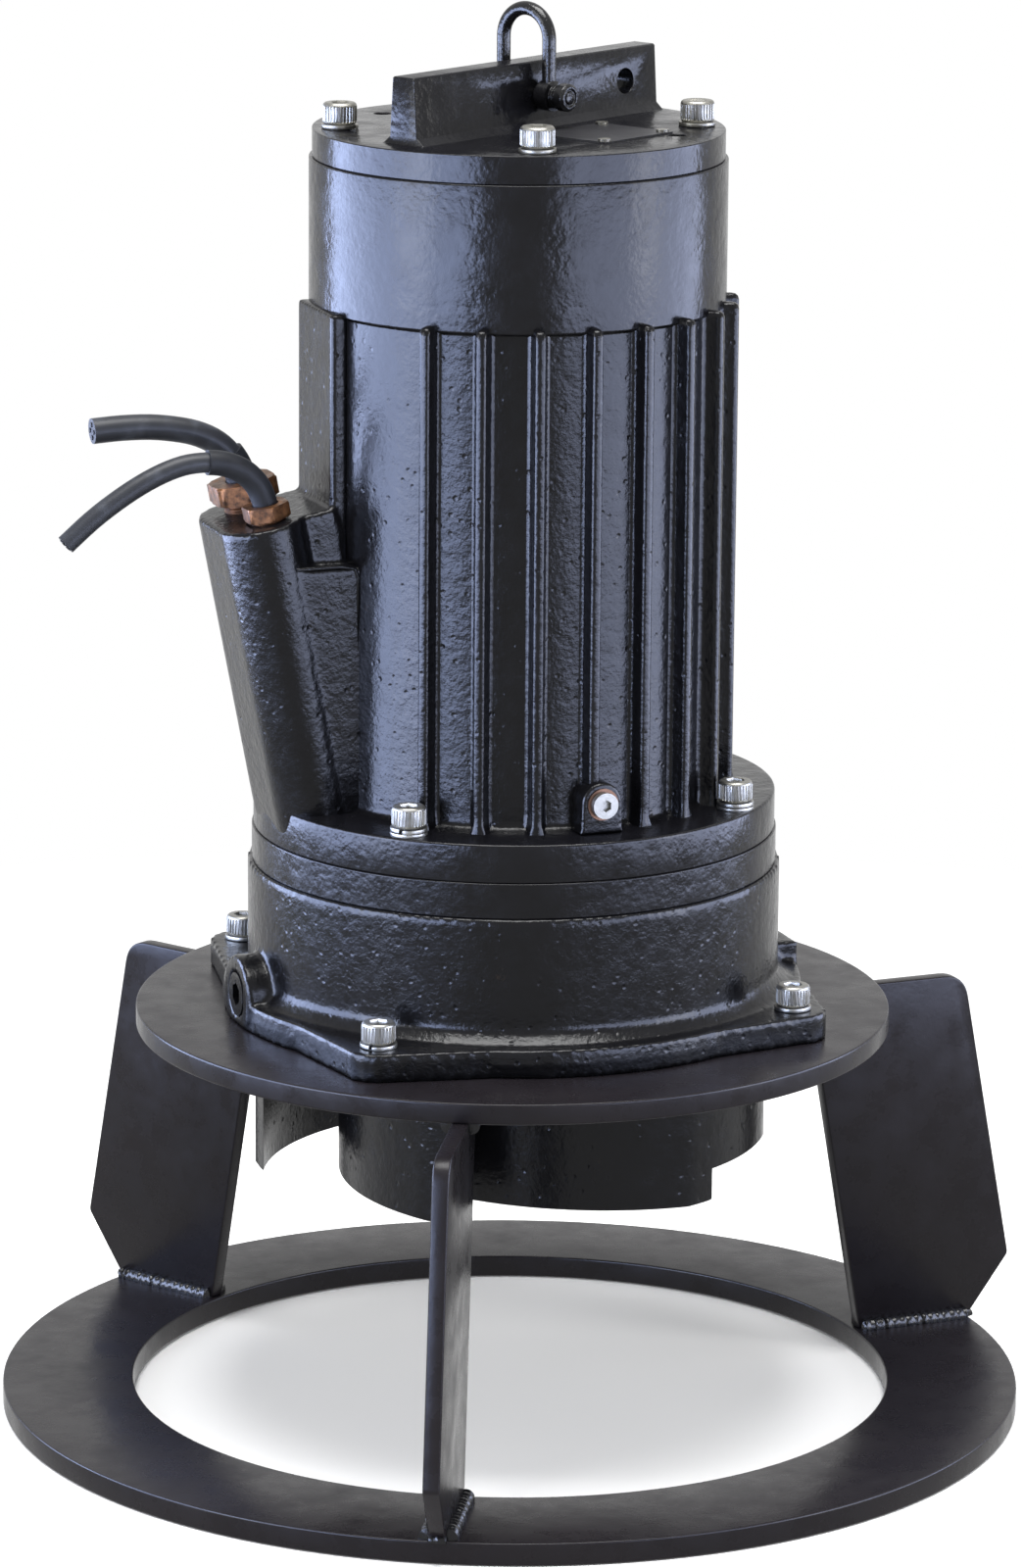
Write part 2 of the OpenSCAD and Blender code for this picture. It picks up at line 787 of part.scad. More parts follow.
module stator_coils() {
  color(copper) {
    coil_head(stator_z - coil_h);
    coil_head(stator_z + stator_l);
    for (k = [0 : slots - 1]) rotate([0, 0, k * turn / slots])
      translate([coil_in + coil_round, -slot_w * half, stator_z - eps])
      cube([slot_out - coil_in - coil_round, slot_w, stator_l + 2 * eps]);
  }
}

// ---------- lid ----------
module motor_lid() {
  color(cast_black) difference() {
    union() {
      translate([0, 0, z_lid]) cylinder(r = lid_r, h = lid_t);
      translate([0, 0, z_lid - lid_spigot_h]) tube(top_in, lid_spigot_in, lid_spigot_h + eps);
      translate([0, 0, z_lid - lid_hub_h]) cylinder(r = lid_hub_r, h = lid_hub_h + eps);
      translate([0, 0, z_top]) rotate([0, 0, bar_az]) translate([bar_shift - bar_l * half, 0, 0])
        rotate([90, 0, 90]) linear_extrude(height = bar_l)
        polygon([[-bar_flare, -eps], [-bar_flare, 0], [-bar_base * half, bar_flare_h],
          [-bar_w * half, bar_h - bar_edge], [-bar_w * half + bar_edge, bar_h],
          [bar_w * half - bar_edge, bar_h], [bar_w * half, bar_h - bar_edge],
          [bar_base * half, bar_flare_h],
          [bar_flare, 0], [bar_flare, -eps]]);
    }
    translate([0, 0, z_lid - lid_hub_h - eps])
      cylinder(r = up_b_out, h = up_b_z + up_b_w + wave_t - z_lid + lid_hub_h + eps);
    around(quad, lid_az, lid_pr) translate([0, 0, z_lid - eps])
      cylinder(r = m10_clear, h = lid_t + 2 * eps);
    for (a = jack_azs) rotate([0, 0, a]) translate([jack_pr, 0, z_top - jack_depth])
      cylinder(r = jack_r, h = jack_depth + eps);
    translate([0, 0, pin_z]) rotate([0, 0, bar_az]) rotate([90, 0, 0]) {
      translate([bar_shift, 0, -bar_base]) cylinder(r = pin_r + run, h = 2 * bar_base);
      translate([bar_hole_u, 0, -bar_base]) cylinder(r = bar_hole_r, h = 2 * bar_base);
    }
    groove(top_in, z_lid - lid_spigot_h + oring_off);
    rotate([0, 0, bar_az]) for (x = [-1, 1], y = [-1, 1])
      translate(plate_corner(x, y)) translate([0, 0, -rivet_l]) cylinder(r = rivet_r, h = rivet_l + eps);
  }
}

// nameplate centre and corners in the frame of the bar
plate_u = plate_x * cos(bar_az) + plate_y * sin(bar_az);
plate_v = plate_y * cos(bar_az) - plate_x * sin(bar_az);
function plate_corner(x, y) =
  [plate_u + x * (plate_l * half - plate_edge), plate_v + y * (plate_w * half - plate_edge), z_top];

module lid_oring() {
  color(rubber) seal_ring(top_in, z_lid - lid_spigot_h + oring_off);
}

module lid_screws() {
  color(steel) translate([0, 0, z_top + spring_t]) around(quad, lid_az, lid_pr) cap_screw(lid_screw_l);
}

module lid_washers() {
  color(steel) translate([0, 0, z_top]) around(quad, lid_az, lid_pr) spring_washer();
}

module nameplate() {
  color(plate_black) rotate([0, 0, bar_az]) difference() {
    translate([plate_u - plate_l * half, plate_v - plate_w * half, z_top])
      cube([plate_l, plate_w, plate_t]);
    for (x = [-1, 1], y = [-1, 1]) translate(plate_corner(x, y)) translate([0, 0, -eps])
      cylinder(r = rivet_r, h = plate_t + 2 * eps);
  }
}

module nameplate_rivets() {
  color(steel) rotate([0, 0, bar_az]) for (x = [-1, 1], y = [-1, 1]) translate(plate_corner(x, y)) {
    translate([0, 0, -rivet_l]) cylinder(r = rivet_r, h = rivet_l + plate_t);
    translate([0, 0, plate_t]) cylinder(r = rivet_r + rivet_h, h = rivet_h);
  }
}

// ---------- bearings ----------
module race_outer(ro, land, pitch, ball, w, z) {
  translate([0, 0, z]) rotate_extrude() difference() {
    translate([land, 0]) square([ro - land, w]);
    translate([pitch, w * half]) circle(r = ball + run);
  }
}

module race_inner(ri, land, pitch, ball, w, z) {
  translate([0, 0, z]) rotate_extrude() difference() {
    translate([ri, 0]) square([land - ri, w]);
    translate([pitch, w * half]) circle(r = ball + run);
  }
}

module ball_set(n, pitch, ball, z) {
  translate([0, 0, z - ball * cage_share]) tube(pitch + cage_t, pitch - cage_t, 2 * ball * cage_share);
  for (k = [0 : n - 1]) rotate([0, 0, k * turn / n]) translate([pitch, 0, z]) sphere(r = ball);
}

module lower_bearing_outer() {
  color(steel) race_outer(low_b_out, low_land_out, low_pitch, low_ball, low_b_w, low_b_z);
}
module lower_bearing_inner() {
  color(steel) race_inner(low_b_in, low_land_in, low_pitch, low_ball, low_b_w, low_b_z);
}
module lower_ball_set() {
  color(steel) ball_set(low_balls_n, low_pitch, low_ball, low_b_z + low_b_w * half);
}
module upper_bearing_outer() {
  color(steel) race_outer(up_b_out, up_land_out, up_pitch, up_ball, up_b_w, up_b_z);
}
module upper_bearing_inner() {
  color(steel) race_inner(up_b_in, up_land_in, up_pitch, up_ball, up_b_w, up_b_z);
}
module upper_ball_set() {
  color(steel) ball_set(up_balls_n, up_pitch, up_ball, up_b_z + up_b_w * half);
}

module bearing_circlip() {
  color(steel) translate([0, 0, low_b_z + low_b_w]) difference() {
    tube(clip_out, clip_in, clip_t);
    translate([0, -clip_t, -eps]) cube([clip_out + eps, 2 * clip_t, clip_t + 2 * eps]);
  }
}

module wave_spring() {
  color(steel) translate([0, 0, up_b_z + up_b_w]) tube(up_b_out, wave_in, wave_t);
}

// ---------- shaft seals ----------
module lip_seal() {
  color(rubber) translate([0, 0, z_foot - spigot_h]) tube(lip_r, shaft_r + run, lip_h);
}

module lower_seal_seat() {
  color(carbon) translate([0, 0, low_seat_z]) tube(seat_r, face_in, seat_t);
}

module upper_seal_seat() {
  color(carbon) translate([0, 0, hub_z]) tube(seat_r, face_in, seat_t);
}

module lower_seal_ring() {
  color(carbon) translate([0, 0, low_face_z + run]) tube(seal_r, shaft_r, ring_seal_t - run);
}

module upper_seal_ring() {
  color(carbon) translate([0, 0, up_ring_z]) tube(seal_r, shaft_r, ring_seal_t - run);
}

module seal_bellows() {
  step = bellows_l / bellows_n;
  color(rubber) translate([0, 0, bellows_z]) rotate_extrude() for (k = [0 : bellows_n - 1])
    polygon([[shaft_r, k * step], [bellows_in, k * step], [bellows_out, (k + half) * step],
      [bellows_in, (k + 1) * step], [shaft_r, (k + 1) * step]]);
}

// ---------- turning parts ----------
module shaft() {
  color(steel) difference() {
    rotate_extrude() polygon([[0, shaft_low_z], [shaft_r - shaft_end_bevel, shaft_low_z],
      [shaft_r, shaft_low_z + shaft_end_bevel], [shaft_r, hub_z + seat_t + eps],
      [low_b_in, hub_z + seat_t + eps], [low_b_in, shaft_shoulder_z],
      [shaft_shoulder, shaft_shoulder_z], [shaft_shoulder, shaft_big_z],
      [shaft_big_r, shaft_big_z], [shaft_big_r, up_b_z - shaft_end_bevel],
      [up_land_in - shaft_end_bevel, up_b_z], [up_b_in, up_b_z],
      [up_b_in, shaft_top_z - shaft_end_bevel], [up_b_in - shaft_end_bevel, shaft_top_z],
      [0, shaft_top_z]]);
    translate([0, 0, shaft_low_z - eps]) cylinder(r = m10_r, h = imp_bolt_l + eps);
    translate([key_in, -key_w * half, key_z]) cube([key_h, key_w, key_l]);
  }
}

module rotor_core() {
  color(carbon) translate([0, 0, rotor_z]) tube(rotor_r, shaft_big_r, rotor_l);
}

module rotor_end_rings() {
  color(steel) {
    translate([0, 0, rotor_z - end_ring_t]) tube(end_ring_out, end_ring_in, end_ring_t);
    translate([0, 0, rotor_z + rotor_l]) tube(end_ring_out, end_ring_in, end_ring_t);
  }
}

module vane() {
  intersection() {
    translate([vane_cx, vane_cy, vane_z]) difference() {
      cylinder(r = vane_arc + vane_t, h = vane_h + eps);
      translate([0, 0, -eps]) cylinder(r = vane_arc, h = vane_h + 3 * eps);
    }
    translate([0, 0, vane_z]) cylinder(r = imp_r - vane_back, h = vane_h + eps);
    translate([0, 0, vane_z]) linear_extrude(height = vane_h + eps)
      polygon([[0, 0], 2 * imp_r * [cos(vane_sweep), -sin(vane_sweep)],
        2 * imp_r * [cos(vane_sweep * half), -sin(vane_sweep * half)],
        2 * imp_r * [cos(vane_lead), sin(vane_lead)]]);
  }
}

module impeller() {
  color(plate_black) difference() {
    union() {
      translate([0, 0, imp_top - shroud_t]) cylinder(r = imp_r, h = shroud_t);
      translate([0, 0, imp_hub_z]) cylinder(r = imp_hub_r, h = imp_top - imp_hub_z);
      for (k = [0 : vane_n - 1]) rotate([0, 0, vane_az + k * turn / vane_n]) vane();
    }
    translate([0, 0, imp_hub_z - eps]) cylinder(r = shaft_r, h = z_deck);
    translate([key_in, -key_w * half, imp_hub_z - eps]) cube([key_h, key_w, key_z + key_l - imp_hub_z + eps]);
  }
}

module impeller_key() {
  color(steel) translate([key_in, -key_w * half, key_z]) cube([key_h, key_w, key_l]);
}

module impeller_washer() {
  color(steel) translate([0, 0, imp_hub_z - imp_washer_t]) tube(imp_washer_r, m10_clear, imp_washer_t);
}

module impeller_bolt() {
  color(steel) translate([0, 0, imp_hub_z - imp_washer_t]) mirror([0, 0, 1]) cap_screw(imp_bolt_l);
}

// ---------- shackle ----------
module shackle_place() {
  rotate([0, 0, bar_az]) translate([bar_shift, 0, pin_z]) children();
}

module shackle_bow() {
  color(cast_black) shackle_place() difference() {
    union() {
      translate([0, 0, bow_z]) rotate([90, 0, 90]) rotate_extrude(angle = turn * half)
        translate([bow_r, 0]) circle(r = rod_r);
      for (s = [-1, 1]) {
        translate([0, s * bow_r, 0]) cylinder(r = rod_r, h = bow_z);
        translate([0, s * bow_r + rod_r, 0]) rotate([90, 0, 0]) cylinder(r = eye_r, h = 2 * rod_r);
      }
    }
    translate([0, bow_r + 2 * rod_r, 0]) rotate([90, 0, 0]) cylinder(r = pin_r, h = 2 * bow_r + 4 * rod_r);
  }
}

module shackle_pin() {
  out = bow_r + rod_r;
  color(cast_black) shackle_place() rotate([90, 0, 0]) {
    translate([0, 0, -out - pin_tail]) cylinder(r = pin_r, h = 2 * out + pin_tail + eps);
    for (k = [0 : pin_collars - 1]) translate([0, 0, out + k * pin_collar]) {
      cylinder(r = pin_collar_r - pin_ridge, h = pin_collar);
      translate([0, 0, pin_ridge * half]) cylinder(r = pin_collar_r, h = pin_collar - pin_ridge);
    }
    translate([0, 0, out + pin_collars * pin_collar]) difference() {
      rotate_extrude() polygon([[0, 0], [pin_head_r, 0], [pin_head_r, pin_head_h - head_ring],
        [pin_head_r - head_ring, pin_head_h], [0, pin_head_h]]);
      translate([0, 0, pin_head_h - head_dip])
        tube(pin_head_r - 2 * head_ring, pin_head_r - 3 * head_ring, head_dip + eps);
    }
  }
}

// ---------- glands and cables ----------
module gland_at(t) {
  turret_frame() translate([gland_x, t, turret_l]) children();
}

// threaded neck with a pocket for the rubber sleeve at its top
module gland(r, cable_r, up, nut_h) {
  top = up + nut_h * neck_share;
  difference() {
    translate([0, 0, -gland_in]) cylinder(r = r, h = gland_in + top);
    translate([0, 0, -gland_in - eps]) cylinder(r = cable_r + gland_bore_gap, h = turret_l);
    translate([0, 0, top - grommet_h]) cylinder(r = cable_r + grommet_w, h = turret_l);
  }
}

module gland_nut(r, cable_r, up, nut_h, nut_r, lip_to) {
  top = nut_h * neck_share;
  translate([0, 0, up]) difference() {
    cylinder(r = nut_r, h = nut_h, $fn = 6);
    translate([0, 0, -eps]) cylinder(r = r, h = top + eps);
    translate([0, 0, -eps]) cylinder(r = lip_to, h = nut_h + 2 * eps);
  }
}

module grommet(cable_r, up, nut_h) {
  top = up + nut_h * neck_share;
  translate([0, 0, top - grommet_h]) tube(cable_r + grommet_w, cable_r, grommet_h);
}

module power_gland() { color(brass) gland_at(-gland_t) gland(pg_r, power_r, pg_up, pg_nut_h); }
module power_gland_nut() {
  color(brass) gland_at(-gland_t)
    gland_nut(pg_r, power_r, pg_up, pg_nut_h, pg_nut_r, power_sleeve_r + gland_bore_gap);
}
module power_grommet() { color(rubber) gland_at(-gland_t) grommet(power_r, pg_up, pg_nut_h); }
module control_gland() { color(brass) gland_at(gland_t) gland(cg_r, control_r, cg_up, cg_nut_h); }
module control_gland_nut() {
  color(brass) gland_at(gland_t)
    gland_nut(cg_r, control_r, cg_up, cg_nut_h, cg_nut_r, control_sleeve_r + gland_bore_gap);
}
module control_grommet() { color(rubber) gland_at(gland_t) grommet(control_r, cg_up, cg_nut_h); }

// point on a gland axis at a height along the turret, in the turret plane
function axis_at(h) = [turret_s + h * sin(turret_tilt) + gland_x * cos(turret_tilt),
  z_body + h * cos(turret_tilt) - gland_x * sin(turret_tilt)];

// direction of a route at point i
function route_dir(p, i) =
  let (a = p[max(i - 1, 0)], b = p[min(i + 1, len(p) - 1)], d = b - a) d / norm(d);

// one ring of the tube around route point i; the route lies in a vertical plane
function ring_points(p, i, r) =
  let (d = route_dir(p, i))
  [for (k = [0 : tube_n - 1]) let (a = k * turn / tube_n)
    [p[i][0] - d[1] * r * cos(a), r * sin(a), p[i][1] + d[0] * r * cos(a)]];

module swept(p, r) {
  n = len(p);
  pts = [for (i = [0 : n - 1]) each ring_points(p, i, r)];
  sides = [for (i = [0 : n - 2], k = [0 : tube_n - 1])
    let (a = i * tube_n + k, b = i * tube_n + (k + 1) % tube_n)
    [a, b, b + tube_n, a + tube_n]];
  polyhedron(points = pts, faces = concat(sides,
    [[for (k = [0 : tube_n - 1]) tube_n - 1 - k]],
    [[for (k = [0 : tube_n - 1]) (n - 1) * tube_n + k]]));
}

// whole path of a cable: inside the turret, through its gland, then the free route
function full_route(p, up, nut_h) = concat(
  [axis_at(cable_in), axis_at(turret_l - gland_in), axis_at(turret_l + up + nut_h * knee_share)], p);

module power_cable() {
  color(cable_black) rotate([0, 0, turret_az]) translate([0, -gland_t, 0])
    swept(full_route(power_route, pg_up, pg_nut_h), power_r);
}

module control_cable() {
  color(cable_black) rotate([0, 0, turret_az]) translate([0, gland_t, 0])
    swept(full_route(control_route, cg_up, cg_nut_h), control_r);
}

// shrunk sleeve over the first part of a cable outside its gland
module sleeve(p, last, cable_r, r, up, nut_h) {
  part = concat([axis_at(turret_l + up + nut_h * lip_share)], [for (i = [0 : last]) p[i]]);
  difference() {
    swept(part, r);
    swept(full_route(p, up, nut_h), cable_r);
  }
}

module power_sleeve() {
  color(rubber) rotate([0, 0, turret_az]) translate([0, -gland_t, 0])
    sleeve(power_route, power_sleeve_to, power_r, power_sleeve_r, pg_up, pg_nut_h);
}

module control_sleeve() {
  color(rubber) rotate([0, 0, turret_az]) translate([0, gland_t, 0])
    sleeve(control_route, control_sleeve_to, control_r, control_sleeve_r, cg_up, cg_nut_h);
}

base_ring();
leg_right();
leg_left();
leg_front();
weld_beads();
deck_plate();
oil_casing();
oil_plug();
foot_screws();
foot_washers();
bearing_bracket();
casing_oring();
frame_oring();
motor_frame();
flange_screws();
flange_washers();
flange_flat_washers();
check_plug();
check_gasket();
stator_core();
stator_coils();
motor_lid();
lid_oring();
lid_screws();
lid_washers();
nameplate();
nameplate_rivets();
lower_bearing_outer();
lower_bearing_inner();
lower_ball_set();
bearing_circlip();
upper_bearing_outer();
upper_bearing_inner();
upper_ball_set();
wave_spring();
lip_seal();
lower_seal_seat();
lower_seal_ring();
seal_bellows();
upper_seal_ring();
upper_seal_seat();
shaft();
rotor_core();
rotor_end_rings();
impeller();
impeller_key();
impeller_washer();
impeller_bolt();
shackle_bow();
shackle_pin();
power_gland();
power_gland_nut();
power_grommet();
power_cable();
power_sleeve();
control_gland();
control_gland_nut();
control_grommet();
control_cable();
control_sleeve();
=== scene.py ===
import math

import bmesh
import bpy
import numpy as np
from mathutils import Matrix, Vector


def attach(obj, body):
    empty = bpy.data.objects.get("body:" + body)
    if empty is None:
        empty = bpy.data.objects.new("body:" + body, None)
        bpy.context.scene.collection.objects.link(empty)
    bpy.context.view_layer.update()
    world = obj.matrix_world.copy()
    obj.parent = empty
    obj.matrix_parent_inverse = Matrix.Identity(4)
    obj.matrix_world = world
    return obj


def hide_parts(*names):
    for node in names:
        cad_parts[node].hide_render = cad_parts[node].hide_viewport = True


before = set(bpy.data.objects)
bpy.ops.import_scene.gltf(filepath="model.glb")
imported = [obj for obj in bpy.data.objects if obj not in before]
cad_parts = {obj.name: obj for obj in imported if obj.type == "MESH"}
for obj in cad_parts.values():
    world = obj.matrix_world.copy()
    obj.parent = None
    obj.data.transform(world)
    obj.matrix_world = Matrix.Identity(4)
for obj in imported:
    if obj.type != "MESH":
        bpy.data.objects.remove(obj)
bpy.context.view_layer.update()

# The camera stands three metres in front of the stand, a metre up, with a long lens, as a
# product photographer sets it, so that the base ring shows as a shallow ellipse.
mm = 0.001
pitch, roll, yaw = math.radians(13.547), math.radians(0.423), math.radians(-0.027)
ahead = Vector((math.sin(yaw) * math.cos(pitch), math.cos(yaw) * math.cos(pitch), -math.sin(pitch)))
level = Vector((math.cos(yaw), -math.sin(yaw), 0))
rise = level.cross(ahead)
across = level * math.cos(roll) + rise * math.sin(roll)
upward = rise * math.cos(roll) - level * math.sin(roll)
camera = bpy.data.objects.new("camera", bpy.data.cameras.new("camera"))
bpy.context.scene.collection.objects.link(camera)
bpy.context.scene.camera = camera
camera.data.lens = 153.98
camera.data.sensor_width = 36
camera.matrix_world = Matrix((
    (across.x, upward.x, -ahead.x, 0),
    (across.y, upward.y, -ahead.y, -3157.63 * mm),
    (across.z, upward.z, -ahead.z, 1069.95 * mm),
    (0, 0, 0, 1)))
camera.data.clip_end = 30


# The two cables are short stubs of rubber-jacketed cable, cut off square: power at the back,
# control in front. Neoprene is matte, blue grey where the light catches it, and marks easily.
def linear(code):
    parts = [int(code[i:i + 2], 16) / 255 for i in (1, 3, 5)]
    return tuple(c / 12.92 if c <= 0.04045 else ((c + 0.055) / 1.055) ** 2.4 for c in parts) + (1,)


def node(tree, kind, inputs=None, **settings):
    """One node with its settings and links; an input given as a node takes that node's first output."""
    made = tree.nodes.new(kind)
    for key, value in settings.items():
        setattr(made, key, value)
    for key, value in (inputs or {}).items():
        if isinstance(value, bpy.types.Node):
            value = value.outputs[0]
        if isinstance(value, bpy.types.NodeSocket):
            tree.links.new(value, made.inputs[key])
        else:
            made.inputs[key].default_value = value
    return made


def finish(name, **surface):
    """A new material; surface gives the shader's own sockets, with _ for a blank."""
    made = bpy.data.materials.new(name)
    made.use_nodes = True
    tree = made.node_tree
    tree.nodes.clear()
    shader = node(tree, "ShaderNodeBsdfPrincipled", {k.replace("_", " "): v for k, v in surface.items()})
    node(tree, "ShaderNodeOutputMaterial", {"Surface": shader})
    return made, tree, shader, node(tree, "ShaderNodeTexCoord").outputs["Object"]


def mesh_of(name, points, faces):
    """A mesh from points in millimetres, its faces turned outwards."""
    made = bpy.data.meshes.new(name)
    made.from_pydata([tuple(c * mm for c in p) for p in points], [], faces)
    work = bmesh.new()
    work.from_mesh(made)
    bmesh.ops.remove_doubles(work, verts=work.verts, dist=1e-6)
    bmesh.ops.recalc_face_normals(work, faces=work.faces)
    work.to_mesh(made)
    work.free()
    return made


def joined(name, meshes):
    """Several meshes as one."""
    work = bmesh.new()
    for mesh in meshes:
        work.from_mesh(mesh)
    made = bpy.data.meshes.new(name)
    work.to_mesh(made)
    work.free()
    return made


def place(name, mesh, material, body, *nodes, smooth=40):
    """A finished piece: shaded, with its material, riding on its body."""
    mesh.polygons.foreach_set("use_smooth", [True] * len(mesh.polygons))
    if smooth:
        mesh.set_sharp_from_angle(angle=math.radians(smooth))
    if material:
        mesh.materials.clear()
        mesh.materials.append(material)
    made = bpy.data.objects.new(name, mesh)
    bpy.context.scene.collection.objects.link(made)
    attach(made, body)
    if nodes:
        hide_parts(*nodes)
    return made


def walls(rings, sides, closed=False):
    """The faces between rings of points, and if closed also from the last ring to the first."""
    faces = []
    for i in range(rings if closed else rings - 1):
        j = (i + 1) % rings
        faces += [(i * sides + k, i * sides + (k + 1) % sides, j * sides + (k + 1) % sides, j * sides + k)
                  for k in range(sides)]
    return faces


def caps(rings, sides):
    """The faces that fill the first ring and the last."""
    return [tuple(range(sides)), tuple(range((rings - 1) * sides, rings * sides))]


def tube(name, path, radius, sides):
    """A round tube along points in millimetres, closed by a smaller ring at each end."""
    path = [Vector(p) for p in path]
    points, end_r = [], radius - 0.4
    radii = [end_r] + [radius] * len(path) + [end_r]
    path = [path[0]] + path + [path[-1]]
    for i, (centre, r) in enumerate(zip(path, radii)):
        way = path[min(i + 1, len(path) - 1)] - path[max(i - 1, 0)]
        way = (way if way.length > 1e-6 else path[-1] - path[-3]).normalized()
        side = Vector((0, 0, 1)).cross(way).normalized()
        over = way.cross(side)
        for k in range(sides):
            a = 2 * math.pi * k / sides
            points.append(centre + side * r * math.cos(a) + over * r * math.sin(a))
    return mesh_of(name, points, walls(len(path), sides) + caps(len(path), sides))


def smooth_way(points, steps):
    """A smooth curve through points, with so many steps from each to the next."""
    p = [2 * np.array(points[0]) - np.array(points[1])] + [np.array(q, float) for q in points]
    p.append(2 * p[-1] - p[-2])
    out = []
    for i in range(1, len(p) - 2):
        for j in range(steps):
            t = j / steps
            out.append(0.5 * (2 * p[i] + (p[i + 1] - p[i - 1]) * t
                              + (2 * p[i - 1] - 5 * p[i] + 4 * p[i + 1] - p[i + 2]) * t * t
                              + (3 * p[i] - p[i - 1] - 3 * p[i + 1] + p[i + 2]) * t ** 3))
    return out + [p[-2]]


turret_az, tilt = math.radians(200), math.radians(11)
turret_s, body_z, turret_l = 106.5, 310, 142
gland_x, gland_t = -3.5, 16.5


def turret_point(x, y, h):
    """A point in the leaning turret's own frame: outwards, sideways, along."""
    s = turret_s + x * math.cos(tilt) + h * math.sin(tilt)
    z = body_z + h * math.cos(tilt) - x * math.sin(tilt)
    return (s * math.cos(turret_az) - y * math.sin(turret_az),
            s * math.sin(turret_az) + y * math.cos(turret_az), z)


def plane_point(s, t, z):
    return (s * math.cos(turret_az) - t * math.sin(turret_az),
            s * math.sin(turret_az) + t * math.cos(turret_az), z)


# extruded neoprene: nearly matte, its black gone grey where it has been handled
neoprene, tree, shader, at = finish("neoprene_jacket", Roughness=0.42, Specular_IOR_Level=0.2)
tint = node(tree, "ShaderNodeMix", {
    0: node(tree, "ShaderNodeTexNoise", {"Vector": at, "Scale": 1 / (14 * mm), "Detail": 4}),
    6: linear("#1C1D21"), 7: linear("#26282D")}, data_type="RGBA").outputs[2]
chalk = node(tree, "ShaderNodeMapRange", {
    "Value": node(tree, "ShaderNodeTexNoise", {
        "Vector": at, "Scale": 1 / (9 * mm), "Detail": 2, "Roughness": 0.5}),
    "From Min": 0.5, "From Max": 0.8})
tree.links.new(
    node(tree, "ShaderNodeMix", {0: chalk, 6: tint, 7: linear("#33363D")}, data_type="RGBA").outputs[2],
    shader.inputs["Base Color"])
# the jacket is extruded, so its skin is smooth with slow waves and a faint grain, drawn coarse to show
tree.links.new(
    node(tree, "ShaderNodeBump", {
        "Height": node(tree, "ShaderNodeTexNoise", {"Vector": at, "Scale": 1 / (2.5 * mm), "Detail": 1}),
        "Distance": 0.008 * mm,
        "Normal": node(tree, "ShaderNodeBump", {
            "Height": node(tree, "ShaderNodeTexNoise", {
                "Vector": at, "Scale": 1 / (9 * mm), "Detail": 1}),
            "Distance": 0.08 * mm})}).outputs[0],
    shader.inputs["Normal"])

# shrunk rubber: darker than the jacket and as matte
sleeve_rubber, tree, shader, at = finish("shrunk_rubber_sleeve", Roughness=0.5, Specular_IOR_Level=0.15)
tree.links.new(
    node(tree, "ShaderNodeMix", {
        0: node(tree, "ShaderNodeTexNoise", {"Vector": at, "Scale": 1 / (6 * mm), "Detail": 4}),
        6: linear("#131417"), 7: linear("#202227")}, data_type="RGBA").outputs[2],
    shader.inputs["Base Color"])
tree.links.new(
    node(tree, "ShaderNodeBump", {
        "Height": node(tree, "ShaderNodeTexNoise", {"Vector": at, "Scale": 1 / (1.2 * mm), "Detail": 3}),
        "Distance": 0.06 * mm}).outputs[0],
    shader.inputs["Normal"])

power_route = [(133.6, 467), (136.4, 473), (141, 479), (147.5, 484), (156, 487.8), (166, 490.2),
               (178, 491.8), (192, 492.1), (206.4, 491.4)]
control_route = [(132.5, 461), (135.2, 467), (140, 472.6), (146.6, 476.8), (154.4, 479.2), (163, 479.8),
                 (172, 478.9), (182, 475.8), (193, 470.7), (205, 463.6), (217, 455.1), (229.3, 444.7)]
steps = 3
for word, route, side, up, nut_h, r, sleeve_r, covered in (
        ("power", power_route, -gland_t, 5, 9.5, 6.1, 7.3, 2.2),
        ("control", control_route, gland_t, 1.5, 7, 4.8, 6.0, 5.3)):
    exit_point = turret_point(gland_x, side, turret_l + up + nut_h)
    way = [exit_point] + [plane_point(s, side, z) for s, z in route]
    line = smooth_way(way, steps)
    jacket = place(word + "_cable", tube(word + "_cable", line, r, 28), neoprene, "housing", word + "_cable")
    hidden = [turret_point(gland_x, side, h) for h in (88, 110, 130, turret_l + up + nut_h - 0.2)]
    place(word + "_cable_root", tube(word + "_cable_root", hidden, r, 28), neoprene, "housing")
    count = int(covered * steps) + steps
    start = turret_point(gland_x, side, turret_l + up + nut_h * 0.86)
    sleeve = place(word + "_sleeve", tube(word + "_sleeve", [start] + line[1:count], sleeve_r, 28), sleeve_rubber,
                   "housing", word + "_sleeve")
    # the cut face shows the cores in their filler
    tip, before = Vector(line[-1]), Vector(line[-2])
    ahead_way = (tip - before).normalized()
    sideways = Vector((0, 0, 1)).cross(ahead_way).normalized()
    above = ahead_way.cross(sideways)
    cores, core_count = [], 4 if word == "power" else 6
    for k in range(core_count):
        a = 2 * math.pi * k / core_count
        middle = tip + sideways * math.cos(a) * r * 0.5 + above * math.sin(a) * r * 0.5
        inner, outer = middle - ahead_way, middle + ahead_way * 0.5
        cores.append(tube("core", [inner, (inner + outer) / 2, outer], r * 0.2, 10))
    core_piece = place(word + "_cores", joined(word + "_cores", cores), sleeve_rubber, "housing")


# The base ring and the deck are flame-cut rounds of rolled steel plate with a ground edge, sprayed
# with satin black enamel.
def lathe(profile, sides):
    """Points and faces of a closed profile of (radius, height) turned about the axis."""
    turns = [2 * math.pi * k / sides for k in range(sides)]
    points = [(r * math.cos(a), r * math.sin(a), z) for r, z in profile for a in turns]
    return points, walls(len(profile), sides, closed=True)


